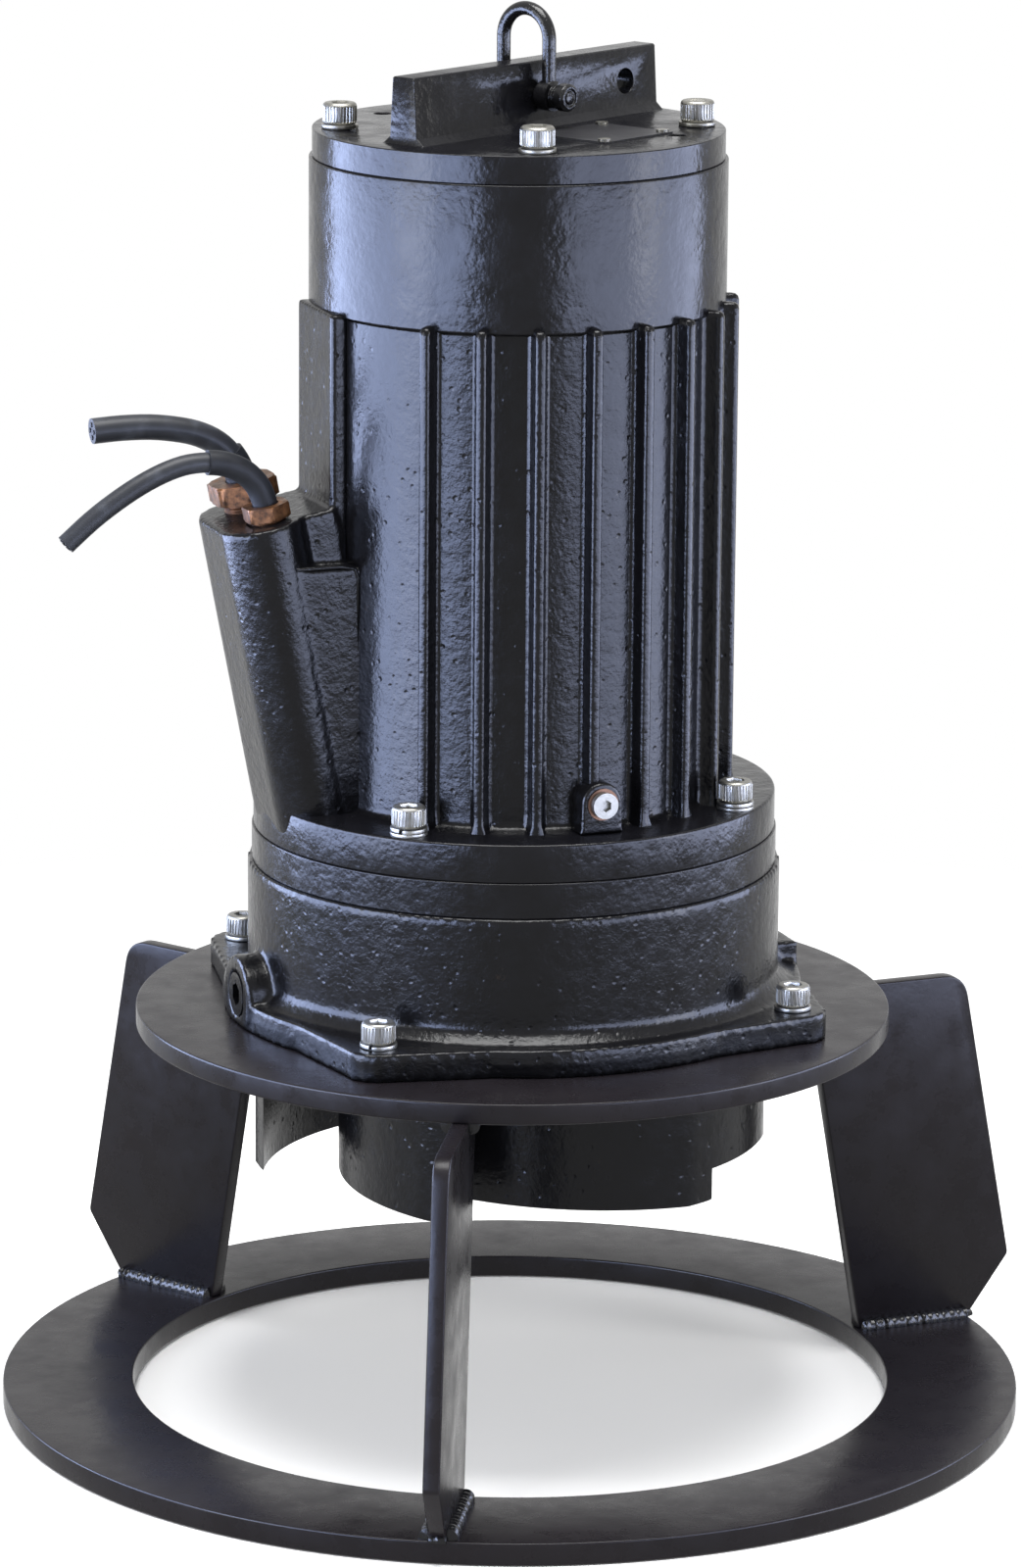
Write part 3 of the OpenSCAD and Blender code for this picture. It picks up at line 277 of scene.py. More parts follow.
def rounded(corners, steps=4):
    """A closed outline of (x, y, radius) corners with each corner made an arc."""
    out = []
    count = len(corners)
    for i, (x, y, r) in enumerate(corners):
        here = Vector((x, y))
        back = Vector(corners[i - 1][:2]) - here
        on = Vector(corners[(i + 1) % count][:2]) - here
        if r <= 0 or back.length < 1e-6 or on.length < 1e-6:
            out.append((x, y))
            continue
        angle = back.angle(on)
        reach = min(r / math.tan(angle / 2), back.length * 0.49, on.length * 0.49)
        a, b = here + back.normalized() * reach, here + on.normalized() * reach
        for k in range(steps + 1):
            t = k / steps
            out.append(tuple((1 - t) ** 2 * a + 2 * t * (1 - t) * here + t * t * b))
    return out


# sprayed enamel on mill plate: satin black, faintly warm, a little brown where it has been scuffed
plate_enamel, tree, shader, at = finish("black_enamel_on_rolled_plate", Roughness=0.26, Specular_IOR_Level=0.15)
patchy = node(tree, "ShaderNodeTexNoise", {
    "Vector": at, "Scale": 1 / (60 * mm), "Detail": 5, "Roughness": 0.6})
coat = node(tree, "ShaderNodeMix", {
    0: patchy, 6: linear("#0F0D10"), 7: linear("#1B181B")}, data_type="RGBA").outputs[2]
scuffs = node(tree, "ShaderNodeMapRange", {
    "Value": node(tree, "ShaderNodeTexNoise", {
        "Vector": at, "Scale": 1 / (13 * mm), "Detail": 9, "Roughness": 0.75}),
    "From Min": 0.69, "From Max": 0.74, "To Min": 0.0, "To Max": 0.5})
tree.links.new(
    node(tree, "ShaderNodeMix", {0: scuffs, 6: coat, 7: linear("#3A2A20")}, data_type="RGBA").outputs[2],
    shader.inputs["Base Color"])
tree.links.new(
    node(tree, "ShaderNodeMapRange", {
        "Value": node(tree, "ShaderNodeTexNoise", {
            "Vector": at, "Scale": 1 / (22 * mm), "Detail": 6, "Roughness": 0.65}),
        "From Min": 0.3, "From Max": 0.75, "To Min": 0.2, "To Max": 0.4}).outputs[0],
    shader.inputs["Roughness"])
skin = node(tree, "ShaderNodeBump", {
    "Height": node(tree, "ShaderNodeTexNoise", {"Vector": at, "Scale": 1 / (2.2 * mm), "Detail": 2}),
    "Distance": 0.05 * mm,
    "Normal": node(tree, "ShaderNodeBump", {
        "Height": node(tree, "ShaderNodeTexNoise", {"Vector": at, "Scale": 1 / (30 * mm), "Detail": 2}),
        "Distance": 0.4 * mm})}).outputs[0]
tree.links.new(skin, shader.inputs["Normal"])

edge, ring_in, ring_out, ring_thick = 1.1, 186, 250, 11
deck_hole, deck_r, deck_low, deck_high = 45, 183.5, 191, 201
ring = rounded([(ring_in, 0, edge), (ring_out, 0, edge), (ring_out, ring_thick, edge), (ring_in, ring_thick, edge)])
made = place("base_ring", mesh_of("base_ring", *lathe(ring, 320)), plate_enamel, "housing", "base_ring")
deck = rounded([(deck_hole, deck_low, 0.6), (deck_r, deck_low, edge), (deck_r, deck_high, edge),
                (deck_hole, deck_high, 0.6)])
made = place("deck_plate", mesh_of("deck_plate", *lathe(deck, 320)), plate_enamel, "housing", "deck_plate")


# Three legs cut from eight millimetre plate stand edge-on round the ring and are welded to it and to
# the deck. One blank is cut and repeated three times by a tree of nodes.
def ring_tree():
    """A tree that copies one object at even angles round the axis, with its inputs by name."""
    made = bpy.data.node_groups.new("copies_round_the_axis", "GeometryNodeTree")
    sockets = {}
    made.interface.new_socket("Geometry", in_out="OUTPUT", socket_type="NodeSocketGeometry")
    for name, kind in (("Piece", "NodeSocketObject"), ("Count", "NodeSocketInt"), ("First", "NodeSocketFloat"),
                       ("Pitch", "NodeSocketFloat"), ("Radius", "NodeSocketFloat"), ("Height", "NodeSocketFloat"),
                       ("Twist", "NodeSocketFloat"), ("Material", "NodeSocketMaterial")):
        sockets[name] = made.interface.new_socket(name, in_out="INPUT", socket_type=kind).identifier
    asked = node(made, "NodeGroupInput").outputs
    angle = node(made, "ShaderNodeMath", {
        0: asked["First"],
        1: node(made, "ShaderNodeMath", {
            0: node(made, "GeometryNodeInputIndex"), 1: asked["Pitch"]}, operation="MULTIPLY")}, operation="ADD")
    spot = node(made, "ShaderNodeCombineXYZ", {
        axis: node(made, "ShaderNodeMath", {
            0: asked["Radius"],
            1: node(made, "ShaderNodeMath", {0: angle}, operation=wave)}, operation="MULTIPLY")
        for axis, wave in ((0, "COSINE"), (1, "SINE"))})
    made.links.new(asked["Height"], spot.inputs[2])
    spots = node(made, "GeometryNodePoints", {"Count": asked["Count"], "Position": spot})
    blank = node(made, "GeometryNodeObjectInfo", {"Object": asked["Piece"]})
    turned = node(made, "ShaderNodeCombineXYZ", {2: angle})
    own = node(made, "ShaderNodeCombineXYZ", {
        2: node(made, "ShaderNodeMath", {
            0: node(made, "GeometryNodeInputIndex"), 1: asked["Twist"]}, operation="MULTIPLY")})
    facing = node(made, "FunctionNodeRotateRotation", {
        0: node(made, "FunctionNodeEulerToRotation", {0: turned}),
        1: node(made, "FunctionNodeEulerToRotation", {0: own})}, rotation_space="LOCAL")
    copies = node(made, "GeometryNodeInstanceOnPoints", {
        "Points": spots, "Instance": blank.outputs["Geometry"], "Rotation": facing})
    whole = node(made, "GeometryNodeRealizeInstances", {0: copies})
    dressed = node(made, "GeometryNodeSetMaterial", {"Geometry": whole, "Material": asked["Material"]})
    node(made, "NodeGroupOutput", {0: dressed})
    return made, sockets


round_tree, round_sockets = ring_tree()


def copies(name, mesh, material, count, first, pitch, radius=0.0, height=0.0, twist=0.0):
    """A plain mesh of count copies round the axis; angles in degrees, sizes in millimetres."""
    blank = bpy.data.objects.new(name + "_blank", mesh)
    bpy.context.scene.collection.objects.link(blank)
    holder = bpy.data.objects.new(name + "_holder", bpy.data.meshes.new(name))
    bpy.context.scene.collection.objects.link(holder)
    modifier = holder.modifiers.new("copies", "NODES")
    modifier.node_group = round_tree
    for key, value in (("Piece", blank), ("Count", count), ("First", math.radians(first)),
                       ("Pitch", math.radians(pitch)), ("Radius", radius * mm), ("Height", height * mm),
                       ("Twist", math.radians(twist)), ("Material", material)):
        modifier[round_sockets[key]] = value
    bpy.context.view_layer.update()
    made = bpy.data.meshes.new_from_object(holder.evaluated_get(bpy.context.evaluated_depsgraph_get()))
    bpy.data.objects.remove(holder)
    bpy.data.objects.remove(blank)
    made.name = name
    return made


def prism(name, outline, low, high):
    """A flat outline raised from low to high along z, in millimetres."""
    points = [(x, y, z) for z in (low, high) for x, y in outline]
    return mesh_of(name, points, caps(2, len(outline)) + walls(2, len(outline)))


def settled(name, mesh, *modifiers):
    """The mesh with modifiers applied; each is (type, settings)."""
    helper = bpy.data.objects.new(name, mesh)
    bpy.context.scene.collection.objects.link(helper)
    for kind, settings in modifiers:
        modifier = helper.modifiers.new(kind, kind)
        for key, value in settings.items():
            setattr(modifier, key, value)
    bpy.context.view_layer.update()
    made = bpy.data.meshes.new_from_object(helper.evaluated_get(bpy.context.evaluated_depsgraph_get()))
    bpy.data.objects.remove(helper)
    made.name = name
    return made


def eased(name, mesh, width, segments=3, angle=30):
    """The mesh with its sharp edges rounded, and flats shaded flat."""
    return settled(name, mesh,
                   ("BEVEL", {"width": width * mm, "segments": segments, "limit_method": "ANGLE",
                              "angle_limit": math.radians(angle), "use_clamp_overlap": False,
                              "miter_outer": "MITER_ARC"}),
                   ("WEIGHTED_NORMAL", {"keep_sharp": True, "weight": 50}))


leg_half, first_leg, leg_pitch = 4, 22.5, 120
blank = prism("leg", rounded([(189, ring_thick, 0), (249.5, ring_thick, 0), (272, 42, 4), (244, deck_low, 14),
                              (157.5, deck_low, 0)], 8), -leg_half, leg_half)
blank.transform(Matrix.Rotation(math.pi / 2, 4, "X"))
made = place("legs", copies("legs", eased("leg", blank, 0.9), plate_enamel, 3, first_leg, leg_pitch), None,
             "housing", "leg_right", "leg_left", "leg_front", smooth=None)

# The fillet welds are a row of solidified ripples, painted over thickly, so they shine.
weld_enamel, tree, shader, at = finish("black_enamel_on_weld", Roughness=0.2, Specular_IOR_Level=0.25)
tree.links.new(
    node(tree, "ShaderNodeMix", {
        0: node(tree, "ShaderNodeTexNoise", {"Vector": at, "Scale": 1 / (8 * mm), "Detail": 4}),
        6: linear("#0C0C0E"), 7: linear("#151517")}, data_type="RGBA").outputs[2],
    shader.inputs["Base Color"])
tree.links.new(
    node(tree, "ShaderNodeBump", {
        "Height": node(tree, "ShaderNodeTexNoise", {
            "Vector": at, "Scale": 1 / (3 * mm), "Detail": 3, "Roughness": 0.6}),
        "Distance": 0.35 * mm}).outputs[0],
    shader.inputs["Normal"])
chance = np.random.default_rng(7)


def weld_bead(start, end, out, up, size=4.6):
    """Overlapping ripples from start to end in the corner between the out and up directions."""
    start, end, out, up = Vector(start), Vector(end), Vector(out), Vector(up)
    way = (end - start).normalized()
    count = int((end - start).length / 0.8) + 1
    points, sides = [], 9
    for i in range(count + 1):
        swell = size * (0.93 + 0.13 * abs(math.sin(i * 0.62)) + 0.1 * chance.random())
        if i in (0, count):
            swell *= 0.6
        centre = start + way * (end - start).length * i / count
        for k in range(sides):
            a = math.pi / 2 * k / (sides - 1)
            bulge = swell * (1 + 0.1 * math.sin(2 * a))
            points.append(centre + out * bulge * math.cos(a) + up * bulge * math.sin(a))
        points.append(centre - out * 0.5 - up * 0.5)
    return mesh_of("bead", points, walls(count + 1, sides + 1) + caps(count + 1, sides + 1))


beads = []
for flank in (1, -1):
    side = leg_half * flank
    beads.append(weld_bead((190, side, ring_thick), (248.5, side, ring_thick), (0, flank, 0), (0, 0, 1)))
    beads.append(weld_bead((160, side, deck_low), (182.5, side, deck_low), (0, flank, 0), (0, 0, -1)))
beads.append(weld_bead((249.3, -4.5, ring_thick), (249.3, 4.5, ring_thick), (1, 0, 0), (0, 0, 1), 3.4))
blank = joined("weld", beads)
made = place("weld_beads", copies("weld_beads", blank, weld_enamel, 3, first_leg, leg_pitch), None, "housing",
             "weld_beads", smooth=55)


# The oil casing is sand-cast grey iron: a drum on a foot with four lobes, a boss for the oil plug on
# one side and a pad on the other. The enamel lies over the sand's lumps and softens every edge.

# enamel on a sand casting: the sand's lumps and a few pits break the gloss into short flecks
cast_enamel, tree, shader, at = finish("black_enamel_on_sand_casting", Roughness=0.24, Specular_IOR_Level=0.17)
shade = node(tree, "ShaderNodeMix", {
    0: node(tree, "ShaderNodeTexNoise", {"Vector": at, "Scale": 1 / (40 * mm), "Detail": 4}),
    6: linear("#070709"), 7: linear("#0E0E11")}, data_type="RGBA").outputs[2]
stain = node(tree, "ShaderNodeMapRange", {
    "Value": node(tree, "ShaderNodeTexNoise", {
        "Vector": at, "Scale": 1 / (11 * mm), "Detail": 8, "Roughness": 0.7}),
    "From Min": 0.68, "From Max": 0.75, "To Min": 0.0, "To Max": 0.3})
tree.links.new(
    node(tree, "ShaderNodeMix", {0: stain, 6: shade, 7: linear("#33281F")}, data_type="RGBA").outputs[2],
    shader.inputs["Base Color"])
tree.links.new(
    node(tree, "ShaderNodeMapRange", {
        "Value": node(tree, "ShaderNodeTexNoise", {
            "Vector": at, "Scale": 1 / (9 * mm), "Detail": 5, "Roughness": 0.65}),
        "From Min": 0.3, "From Max": 0.75, "To Min": 0.16, "To Max": 0.3}).outputs[0],
    shader.inputs["Roughness"])
sand = node(tree, "ShaderNodeBump", {
    "Height": node(tree, "ShaderNodeTexNoise", {
        "Vector": at, "Scale": 1 / (6 * mm), "Detail": 4, "Roughness": 0.6}),
    "Distance": 0.36 * mm})
peel = node(tree, "ShaderNodeBump", {
    "Height": node(tree, "ShaderNodeTexNoise", {"Vector": at, "Scale": 1 / (2.0 * mm), "Detail": 2}),
    "Distance": 0.13 * mm, "Normal": sand})
pits = node(tree, "ShaderNodeTexVoronoi", {"Vector": at, "Scale": 1 / (7 * mm)}).outputs["Distance"]
tree.links.new(
    node(tree, "ShaderNodeBump", {
        "Height": node(tree, "ShaderNodeMapRange", {"Value": pits, "From Min": 0.04, "From Max": 0.2}),
        "Distance": 0.22 * mm, "Normal": peel}).outputs[0],
    shader.inputs["Normal"])


def paint(material, *names):
    """A CAD piece keeps its shape and gets its finish."""
    for name in names:
        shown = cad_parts[name]
        shown.data.materials.clear()
        shown.data.materials.append(material)


def own_copy(name, flats=True):
    """A copy of a CAD piece's mesh with its loose triangles merged and, if asked, its flats made whole."""
    work = bmesh.new()
    work.from_mesh(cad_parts[name].data)
    bmesh.ops.remove_doubles(work, verts=work.verts, dist=0.004 * mm)
    if flats:
        bmesh.ops.dissolve_limit(work, angle_limit=math.radians(0.6), verts=work.verts, edges=work.edges)
    made = bpy.data.meshes.new(name)
    work.to_mesh(made)
    work.free()
    return made


# the mould washes every edge and corner round; the mesh is then thinned to what the curves need
most = 160000
casing = settled("oil_casing", own_copy("oil_casing", flats=False),
                 ("REMESH", {"mode": "VOXEL", "voxel_size": 1.5 * mm}), ("SMOOTH", {"factor": 0.5, "iterations": 4}))
triangles = sum(len(p.vertices) - 2 for p in casing.polygons)
if triangles > most:
    casing = settled("oil_casing", casing, ("DECIMATE", {"ratio": most / triangles}))
made = place("oil_casing", casing, cast_enamel, "housing", "oil_casing", smooth=None)
paint(cast_enamel, "oil_plug")


# The bearing bracket is a turned iron disc clamped between casing and motor; its rim shows as one band
# with a fine bright line where the paint has cracked at each joint.

# the same enamel on a skimmed face: an orange peel, so long streaks of light have ragged edges
turned_enamel, tree, shader, at = finish("black_enamel_on_turned_iron", Roughness=0.2, Specular_IOR_Level=0.17)
shade = node(tree, "ShaderNodeMix", {
    0: node(tree, "ShaderNodeTexNoise", {"Vector": at, "Scale": 1 / (30 * mm), "Detail": 4}),
    6: linear("#08080A"), 7: linear("#0F0F13")}, data_type="RGBA").outputs[2]
tree.links.new(shade, shader.inputs["Base Color"])
tree.links.new(
    node(tree, "ShaderNodeMapRange", {
        "Value": node(tree, "ShaderNodeTexNoise", {
            "Vector": at, "Scale": 1 / (12 * mm), "Detail": 5, "Roughness": 0.6}),
        "From Min": 0.3, "From Max": 0.7, "To Min": 0.16, "To Max": 0.3}).outputs[0],
    shader.inputs["Roughness"])
waves = node(tree, "ShaderNodeBump", {
    "Height": node(tree, "ShaderNodeTexNoise", {
        "Vector": at, "Scale": 1 / (12 * mm), "Detail": 3, "Roughness": 0.6}),
    "Distance": 0.5 * mm})
tree.links.new(
    node(tree, "ShaderNodeBump", {
        "Height": node(tree, "ShaderNodeTexNoise", {"Vector": at, "Scale": 1 / (2.8 * mm), "Detail": 2}),
        "Distance": 0.17 * mm, "Normal": waves}).outputs[0],
    shader.inputs["Normal"])
made = place("bearing_bracket", eased("bearing_bracket", own_copy("bearing_bracket"), 0.6), turned_enamel, "housing",
             "bearing_bracket", smooth=35)


# The motor frame is one iron casting: bored tube, flange, smooth band, cooling ribs, a flat channel wall,
# the leaning cable turret and a small boss. The shell is turned here, and the ribs are copies of one.
frame_profile = rounded([
    (88, 291.5, 0.3), (126.2, 291.5, 0.8), (126.2, 310, 1.6), (97.5, 310, 5), (97.5, 545.2, 1.2),
    (99.5, 546.4, 1.2), (99.5, 615.5, 0.8), (74, 615.5, 0.3), (74, 589.5, 0.5), (88, 589.5, 0.5)], 5)
points, faces = lathe(frame_profile, 288)
shell = mesh_of("motor_shell", points, faces)
shell.materials.append(cast_enamel)
shell.materials.append(turned_enamel)
flange_top, band_low = 310.2, 546.2
for face in shell.polygons:
    face.material_index = 0 if flange_top * mm <= face.center.z <= band_low * mm else 1
made = place("motor_shell", shell, None, "housing", "motor_frame", smooth=35)

rib_w, rib_out, rib_root, flare = 2.75, 106.2, 97.0, 2.6
section = [(rib_root - 2, rib_w + flare), (rib_root + 0.3, rib_w + flare), (rib_root + 0.8, rib_w + 1.2),
           (rib_root + 2.4, rib_w + 0.2), (rib_out - 2.2, rib_w - 0.05), (rib_out - 0.7, rib_w - 0.45),
           (rib_out - 0.1, rib_w - 1.3), (rib_out, 0)]
section = section + [(x, -y) for x, y in reversed(section[:-1])]
levels = [(308.5, 1.0, 2.5), (311, 1.0, 1.6), (314, 1.0, 0.2), (318, 1.0, 0.0), (430, 1.0, 0.0), (540, 1.0, 0.0),
          (545.6, 1.0, 0.0), (547.4, 0.93, -0.5), (548.3, 0.78, -1.6), (548.7, 0.5, -3.4)]
points = []
for z, width, out in levels:
    for x, y in section:
        if out < 0 and x > rib_root + 1:
            outwards = x + out
        else:
            outwards = x + max(out, 0) * (0.4 if x > rib_root else 0)
        points.append((outwards, y * width + (math.copysign(out * 0.6, y) if out > 0 and y else 0), z))
rib = mesh_of("rib", points, walls(len(levels), len(section)) + caps(len(levels), len(section)))
place("cooling_ribs", copies("cooling_ribs", rib, cast_enamel, 19, 245.9, 15), None, "housing", smooth=50)


def box_shell(low, high, where):
    """Points and faces of a box given in a piece's own frame."""
    corners = [where(x, y, z) for z in (low[2], high[2]) for y in (low[1], high[1]) for x in (low[0], high[0])]
    return corners, [(0, 1, 3, 2), (4, 5, 7, 6), (0, 1, 5, 4), (2, 3, 7, 6), (0, 2, 6, 4), (1, 3, 7, 5)]


stadium, end_r, end_y, half_turn = [], 20.5, 16, 48
for start, y in ((0, end_y), (math.pi, -end_y)):
    for k in range(half_turn + 1):
        a = start + math.pi * k / half_turn
        stadium.append((end_r * math.cos(a), y + end_r * math.sin(a)))
points = [turret_point(x, y, h) for h in (-8, turret_l + 0.4) for x, y in stadium]
solids = [mesh_of("stadium", points, caps(2, len(stadium)) + walls(2, len(stadium)))]
for low, high, where in (
        ((-34, -27, -8), (0, 27, turret_l + 0.4), turret_point),
        ((94, -25.5, 309), (101.8, 25.5, 547.8), plane_point)):
    solids.append(mesh_of("web", *box_shell(low, high, where)))
web_top, web_half = 429, 34.8
flank = [(84, body_z - 6), (turret_s, body_z - 6),
         (turret_s + (web_top - body_z) * math.tan(tilt), web_top), (84, web_top)]
points = [plane_point(s, t, z) for t in (-web_half, web_half) for s, z in flank]
solids.append(mesh_of("web", points, caps(2, 4) + walls(2, 4)))
turret = settled("cable_turret", joined("turret", solids), ("REMESH", {"mode": "VOXEL", "voxel_size": 1.2 * mm}),
                 ("SMOOTH", {"factor": 0.5, "iterations": 7}))
place("cable_turret", turret, cast_enamel, "housing", smooth=None)

# the mould leaves a thin bead where the web and the channel wall meet the round of the frame
beads = []
for side in (-1, 1):
    for path in ([(91.6, 34.4, 312), (91.6, 34.4, 370), (91.6, 34.4, 424), (93.2, 34.4, 428.4), (100, 34.4, 429.6),
                  (122, 34.4, 429.4)],
                 [(94.6, 25.4, 431), (94.6, 25.4, 490), (94.6, 25.4, 545)]):
        beads.append(tube("bead", [plane_point(s, side * t, z) for s, t, z in path], 1.1, 10))
place("casting_beads", joined("casting_beads", beads), cast_enamel, "housing", smooth=60)

outline = [(10 * math.cos(math.pi * k / 24), 14.5 + 10 * math.sin(math.pi * k / 24)) for k in range(25)]
outline = [(11.2, 0), (10.2, 3)] + outline + [(-10.2, 3), (-11.2, 0)]
boss = prism("check_boss", outline, 96, 111)
boss.transform(Matrix.Translation((0, 0, body_z * mm)) @ Matrix.Rotation(math.radians(292), 4, "Z")
               @ Matrix(((0, 0, 1, 0), (1, 0, 0, 0), (0, 1, 0, 0), (0, 0, 0, 1))))
place("check_boss", eased("check_boss", boss, 1.5, 4), cast_enamel, "housing", smooth=35)


# Twelve stainless cap screws of ten millimetres hold the foot, the flange and the lid. Their heads are
# knurled all round and have a hexagon socket; each stands on a split spring washer, on the flange with
# a flat one under it.
def cap_screw(name, long):
    """One screw, its bearing face at height zero: knurled head, socket and shank."""
    points, sides = [], 120
    head_r, head_h, shank, socket = 8.0, 10.0, 5.0, 4.62
    rings = [(0, -long, 0), (shank - 0.8, -long, 0), (shank, -long + 0.8, 0), (shank, 0, 0), (7.3, 0, 0),
             (7.7, 0.35, 0), (head_r, 1.1, 0), (head_r, 1.3, 1), (head_r, 8.3, 1), (head_r, 8.6, 0),
             (7.75, 9.3, 0), (7.1, 9.9, 0), (6.7, head_h, 0)]
    for r, z, knurl in rings:
        for k in range(sides):
            a = 2 * math.pi * k / sides
            out = r + (0.1 if k % 4 < 2 else -0.5) * knurl
            points.append((out * math.cos(a), out * math.sin(a), z))
    hexagon = ((head_h, 1.0), (head_h - 0.5, 0.93), (head_h - 5.0, 0.93), (head_h - 6.2, 0.02))
    for z, grow in hexagon:
        for k in range(sides):
            a = 2 * math.pi * k / sides
            near = math.cos(math.pi / 6) / math.cos((a + math.pi / 6) % (math.pi / 3) - math.pi / 6)
            points.append((socket * near * grow * math.cos(a), socket * near * grow * math.sin(a), z))
    count = len(rings) + len(hexagon)
    return mesh_of(name, points, walls(count, sides) + caps(count, sides)[1:])


# cold-formed stainless steel: soft grey highlights, the knurl in darker lines
stainless, tree, shader, at = finish("stainless_steel_screw", Metallic=1.0, Roughness=0.38)
tree.links.new(
    node(tree, "ShaderNodeMix", {
        0: node(tree, "ShaderNodeTexNoise", {"Vector": at, "Scale": 1 / (3 * mm), "Detail": 4}),
        6: linear("#6C6B65"), 7: linear("#92908A")}, data_type="RGBA").outputs[2],
    shader.inputs["Base Color"])
tree.links.new(
    node(tree, "ShaderNodeMapRange", {
        "Value": node(tree, "ShaderNodeTexNoise", {"Vector": at, "Scale": 1 / (2 * mm), "Detail": 4}),
        "From Min": 0.3, "From Max": 0.7, "To Min": 0.3, "To Max": 0.48}).outputs[0],
    shader.inputs["Roughness"])
tree.links.new(
    node(tree, "ShaderNodeBump", {
        "Height": node(tree, "ShaderNodeTexNoise", {"Vector": at, "Scale": 1 / (0.8 * mm), "Detail": 3}),
        "Distance": 0.02 * mm}).outputs[0],
    shader.inputs["Normal"])

for name, count, first, pitch, radius, height, long in (
        ("foot_screws", 4, 245, 90, 148, 216.8, 24.5), ("flange_screws", 4, 245, 90, 116.5, 313.9, 60),
        ("lid_screws", 4, 5.8, 90, 85, 631.3, 30)):
    screws = copies(name, cap_screw(name, long), stainless, count, first, pitch, radius, height, 37)
    place(name, screws, None, "housing", name, smooth=32)


def spring_washer(name):
    """A split washer of square wire, one end of the slit a little above the other."""
    points, steps = [], 64
    outline = rounded([(5.3, 0, 0.3), (8.8, 0, 0.3), (8.8, 1.9, 0.3), (5.3, 1.9, 0.3)], 2)
    for i in range(steps + 1):
        a = math.radians(6) + (2 * math.pi - math.radians(12)) * i / steps
        points += [(r * math.cos(a), r * math.sin(a), z + 0.38 * i / steps) for r, z in outline]
    return mesh_of(name, points, walls(steps + 1, len(outline)) + caps(steps + 1, len(outline)))


for name, first, radius, height in (("foot_washers", 245, 148, 214.5), ("flange_washers", 245, 116.5, 311.6),
                                    ("lid_washers", 5.8, 85, 629)):
    washers = copies(name, spring_washer(name), stainless, 4, first, 90, radius, height, 71)
    place(name, washers, None, "housing", name, smooth=32)
flat = rounded([(5.5, 0, 0.2), (8.9, 0, 0.3), (8.9, 1.6, 0.3), (5.5, 1.6, 0.2)], 2)
washers = copies("flange_flat_washers", mesh_of("flat_washer", *lathe(flat, 64)), stainless, 4, 245, 90, 116.5, 310)
place("flange_flat_washers", washers, None, "housing", "flange_flat_washers", smooth=32)
paint(stainless, "check_plug", "impeller_washer", "impeller_bolt")

# stamped soft copper gone brown
annealed_copper, tree, shader, at = finish("annealed_copper_gasket", Metallic=1.0, Roughness=0.35)
tree.links.new(
    node(tree, "ShaderNodeMix", {
        0: node(tree, "ShaderNodeTexNoise", {"Vector": at, "Scale": 1 / (2 * mm), "Detail": 4}),
        6: linear("#4A3A31"), 7: linear("#6A5040")}, data_type="RGBA").outputs[2],
    shader.inputs["Base Color"])
paint(annealed_copper, "check_gasket")


# The lid is a turned iron disc with the lifting bar cast across it. Its top has a bare dark plate held by
# four rivets, two threaded holes for jacking screws, and a fine joint line to the frame below.
made = place("motor_lid", eased("motor_lid", own_copy("motor_lid"), 0.5, 3, 28), turned_enamel, "housing",
             "motor_lid", smooth=35)

# dyed anodised aluminium sheet with a fine brushed lay
plate_metal, tree, shader, at = finish("dark_anodised_tag", Metallic=0.6, Roughness=0.4)
brushed = node(tree, "ShaderNodeTexNoise", {
    "Vector": node(tree, "ShaderNodeMapping", {
        "Vector": at, "Rotation": (0, 0, math.radians(-50)), "Scale": (0.05, 1, 1)}),
    "Scale": 1 / (0.9 * mm), "Detail": 3})
tree.links.new(
    node(tree, "ShaderNodeMix", {
        0: brushed, 6: linear("#1B1B1E"), 7: linear("#37373B")}, data_type="RGBA").outputs[2],
    shader.inputs["Base Color"])
tree.links.new(
    node(tree, "ShaderNodeMapRange", {
        "Value": brushed, "From Min": 0.3, "From Max": 0.7, "To Min": 0.3, "To Max": 0.46}).outputs[0],
    shader.inputs["Roughness"])
paint(plate_metal, "nameplate")
paint(stainless, "nameplate_rivets")


# The shackle is a forged steel bow with a screw pin through the bar; both were painted with the lid. The
# pin's head has ridges for the fingers.
made = place("shackle_bow", settled("shackle_bow", own_copy("shackle_bow"), ("WEIGHTED_NORMAL", {"keep_sharp": True})),
             weld_enamel, "shackle", "shackle_bow", smooth=50)
made = place("shackle_pin", eased("shackle_pin", own_copy("shackle_pin"), 0.25, 2), weld_enamel, "shackle",
             "shackle_pin", smooth=40)


# Two glands of copper-coloured brass screw into the top of the turret. Each has a threaded neck and a
# hexagon nut that squeezes a rubber sleeve round the cable; their lower halves are dark with paint.

# turned brass gone brown and dull, dark where paint and dirt have stayed
gland_metal, tree, shader, at = finish("worn_gland_brass", Metallic=0.7, Roughness=0.45, Specular_IOR_Level=0.25)
old = node(tree, "ShaderNodeMapRange", {
    "Value": node(tree, "ShaderNodeTexNoise", {
        "Vector": at, "Scale": 1 / (4 * mm), "Detail": 6, "Roughness": 0.7}),
    "From Min": 0.35, "From Max": 0.7})
tree.links.new(
    node(tree, "ShaderNodeMix", {0: old, 6: linear("#6E4A2E"), 7: linear("#1F1711")}, data_type="RGBA").outputs[2],
    shader.inputs["Base Color"])
tree.links.new(
    node(tree, "ShaderNodeMapRange", {
        "Value": node(tree, "ShaderNodeTexNoise", {"Vector": at, "Scale": 1 / (3 * mm), "Detail": 5}),
        "From Min": 0.3, "From Max": 0.7, "To Min": 0.3, "To Max": 0.55}).outputs[0],
    shader.inputs["Roughness"])
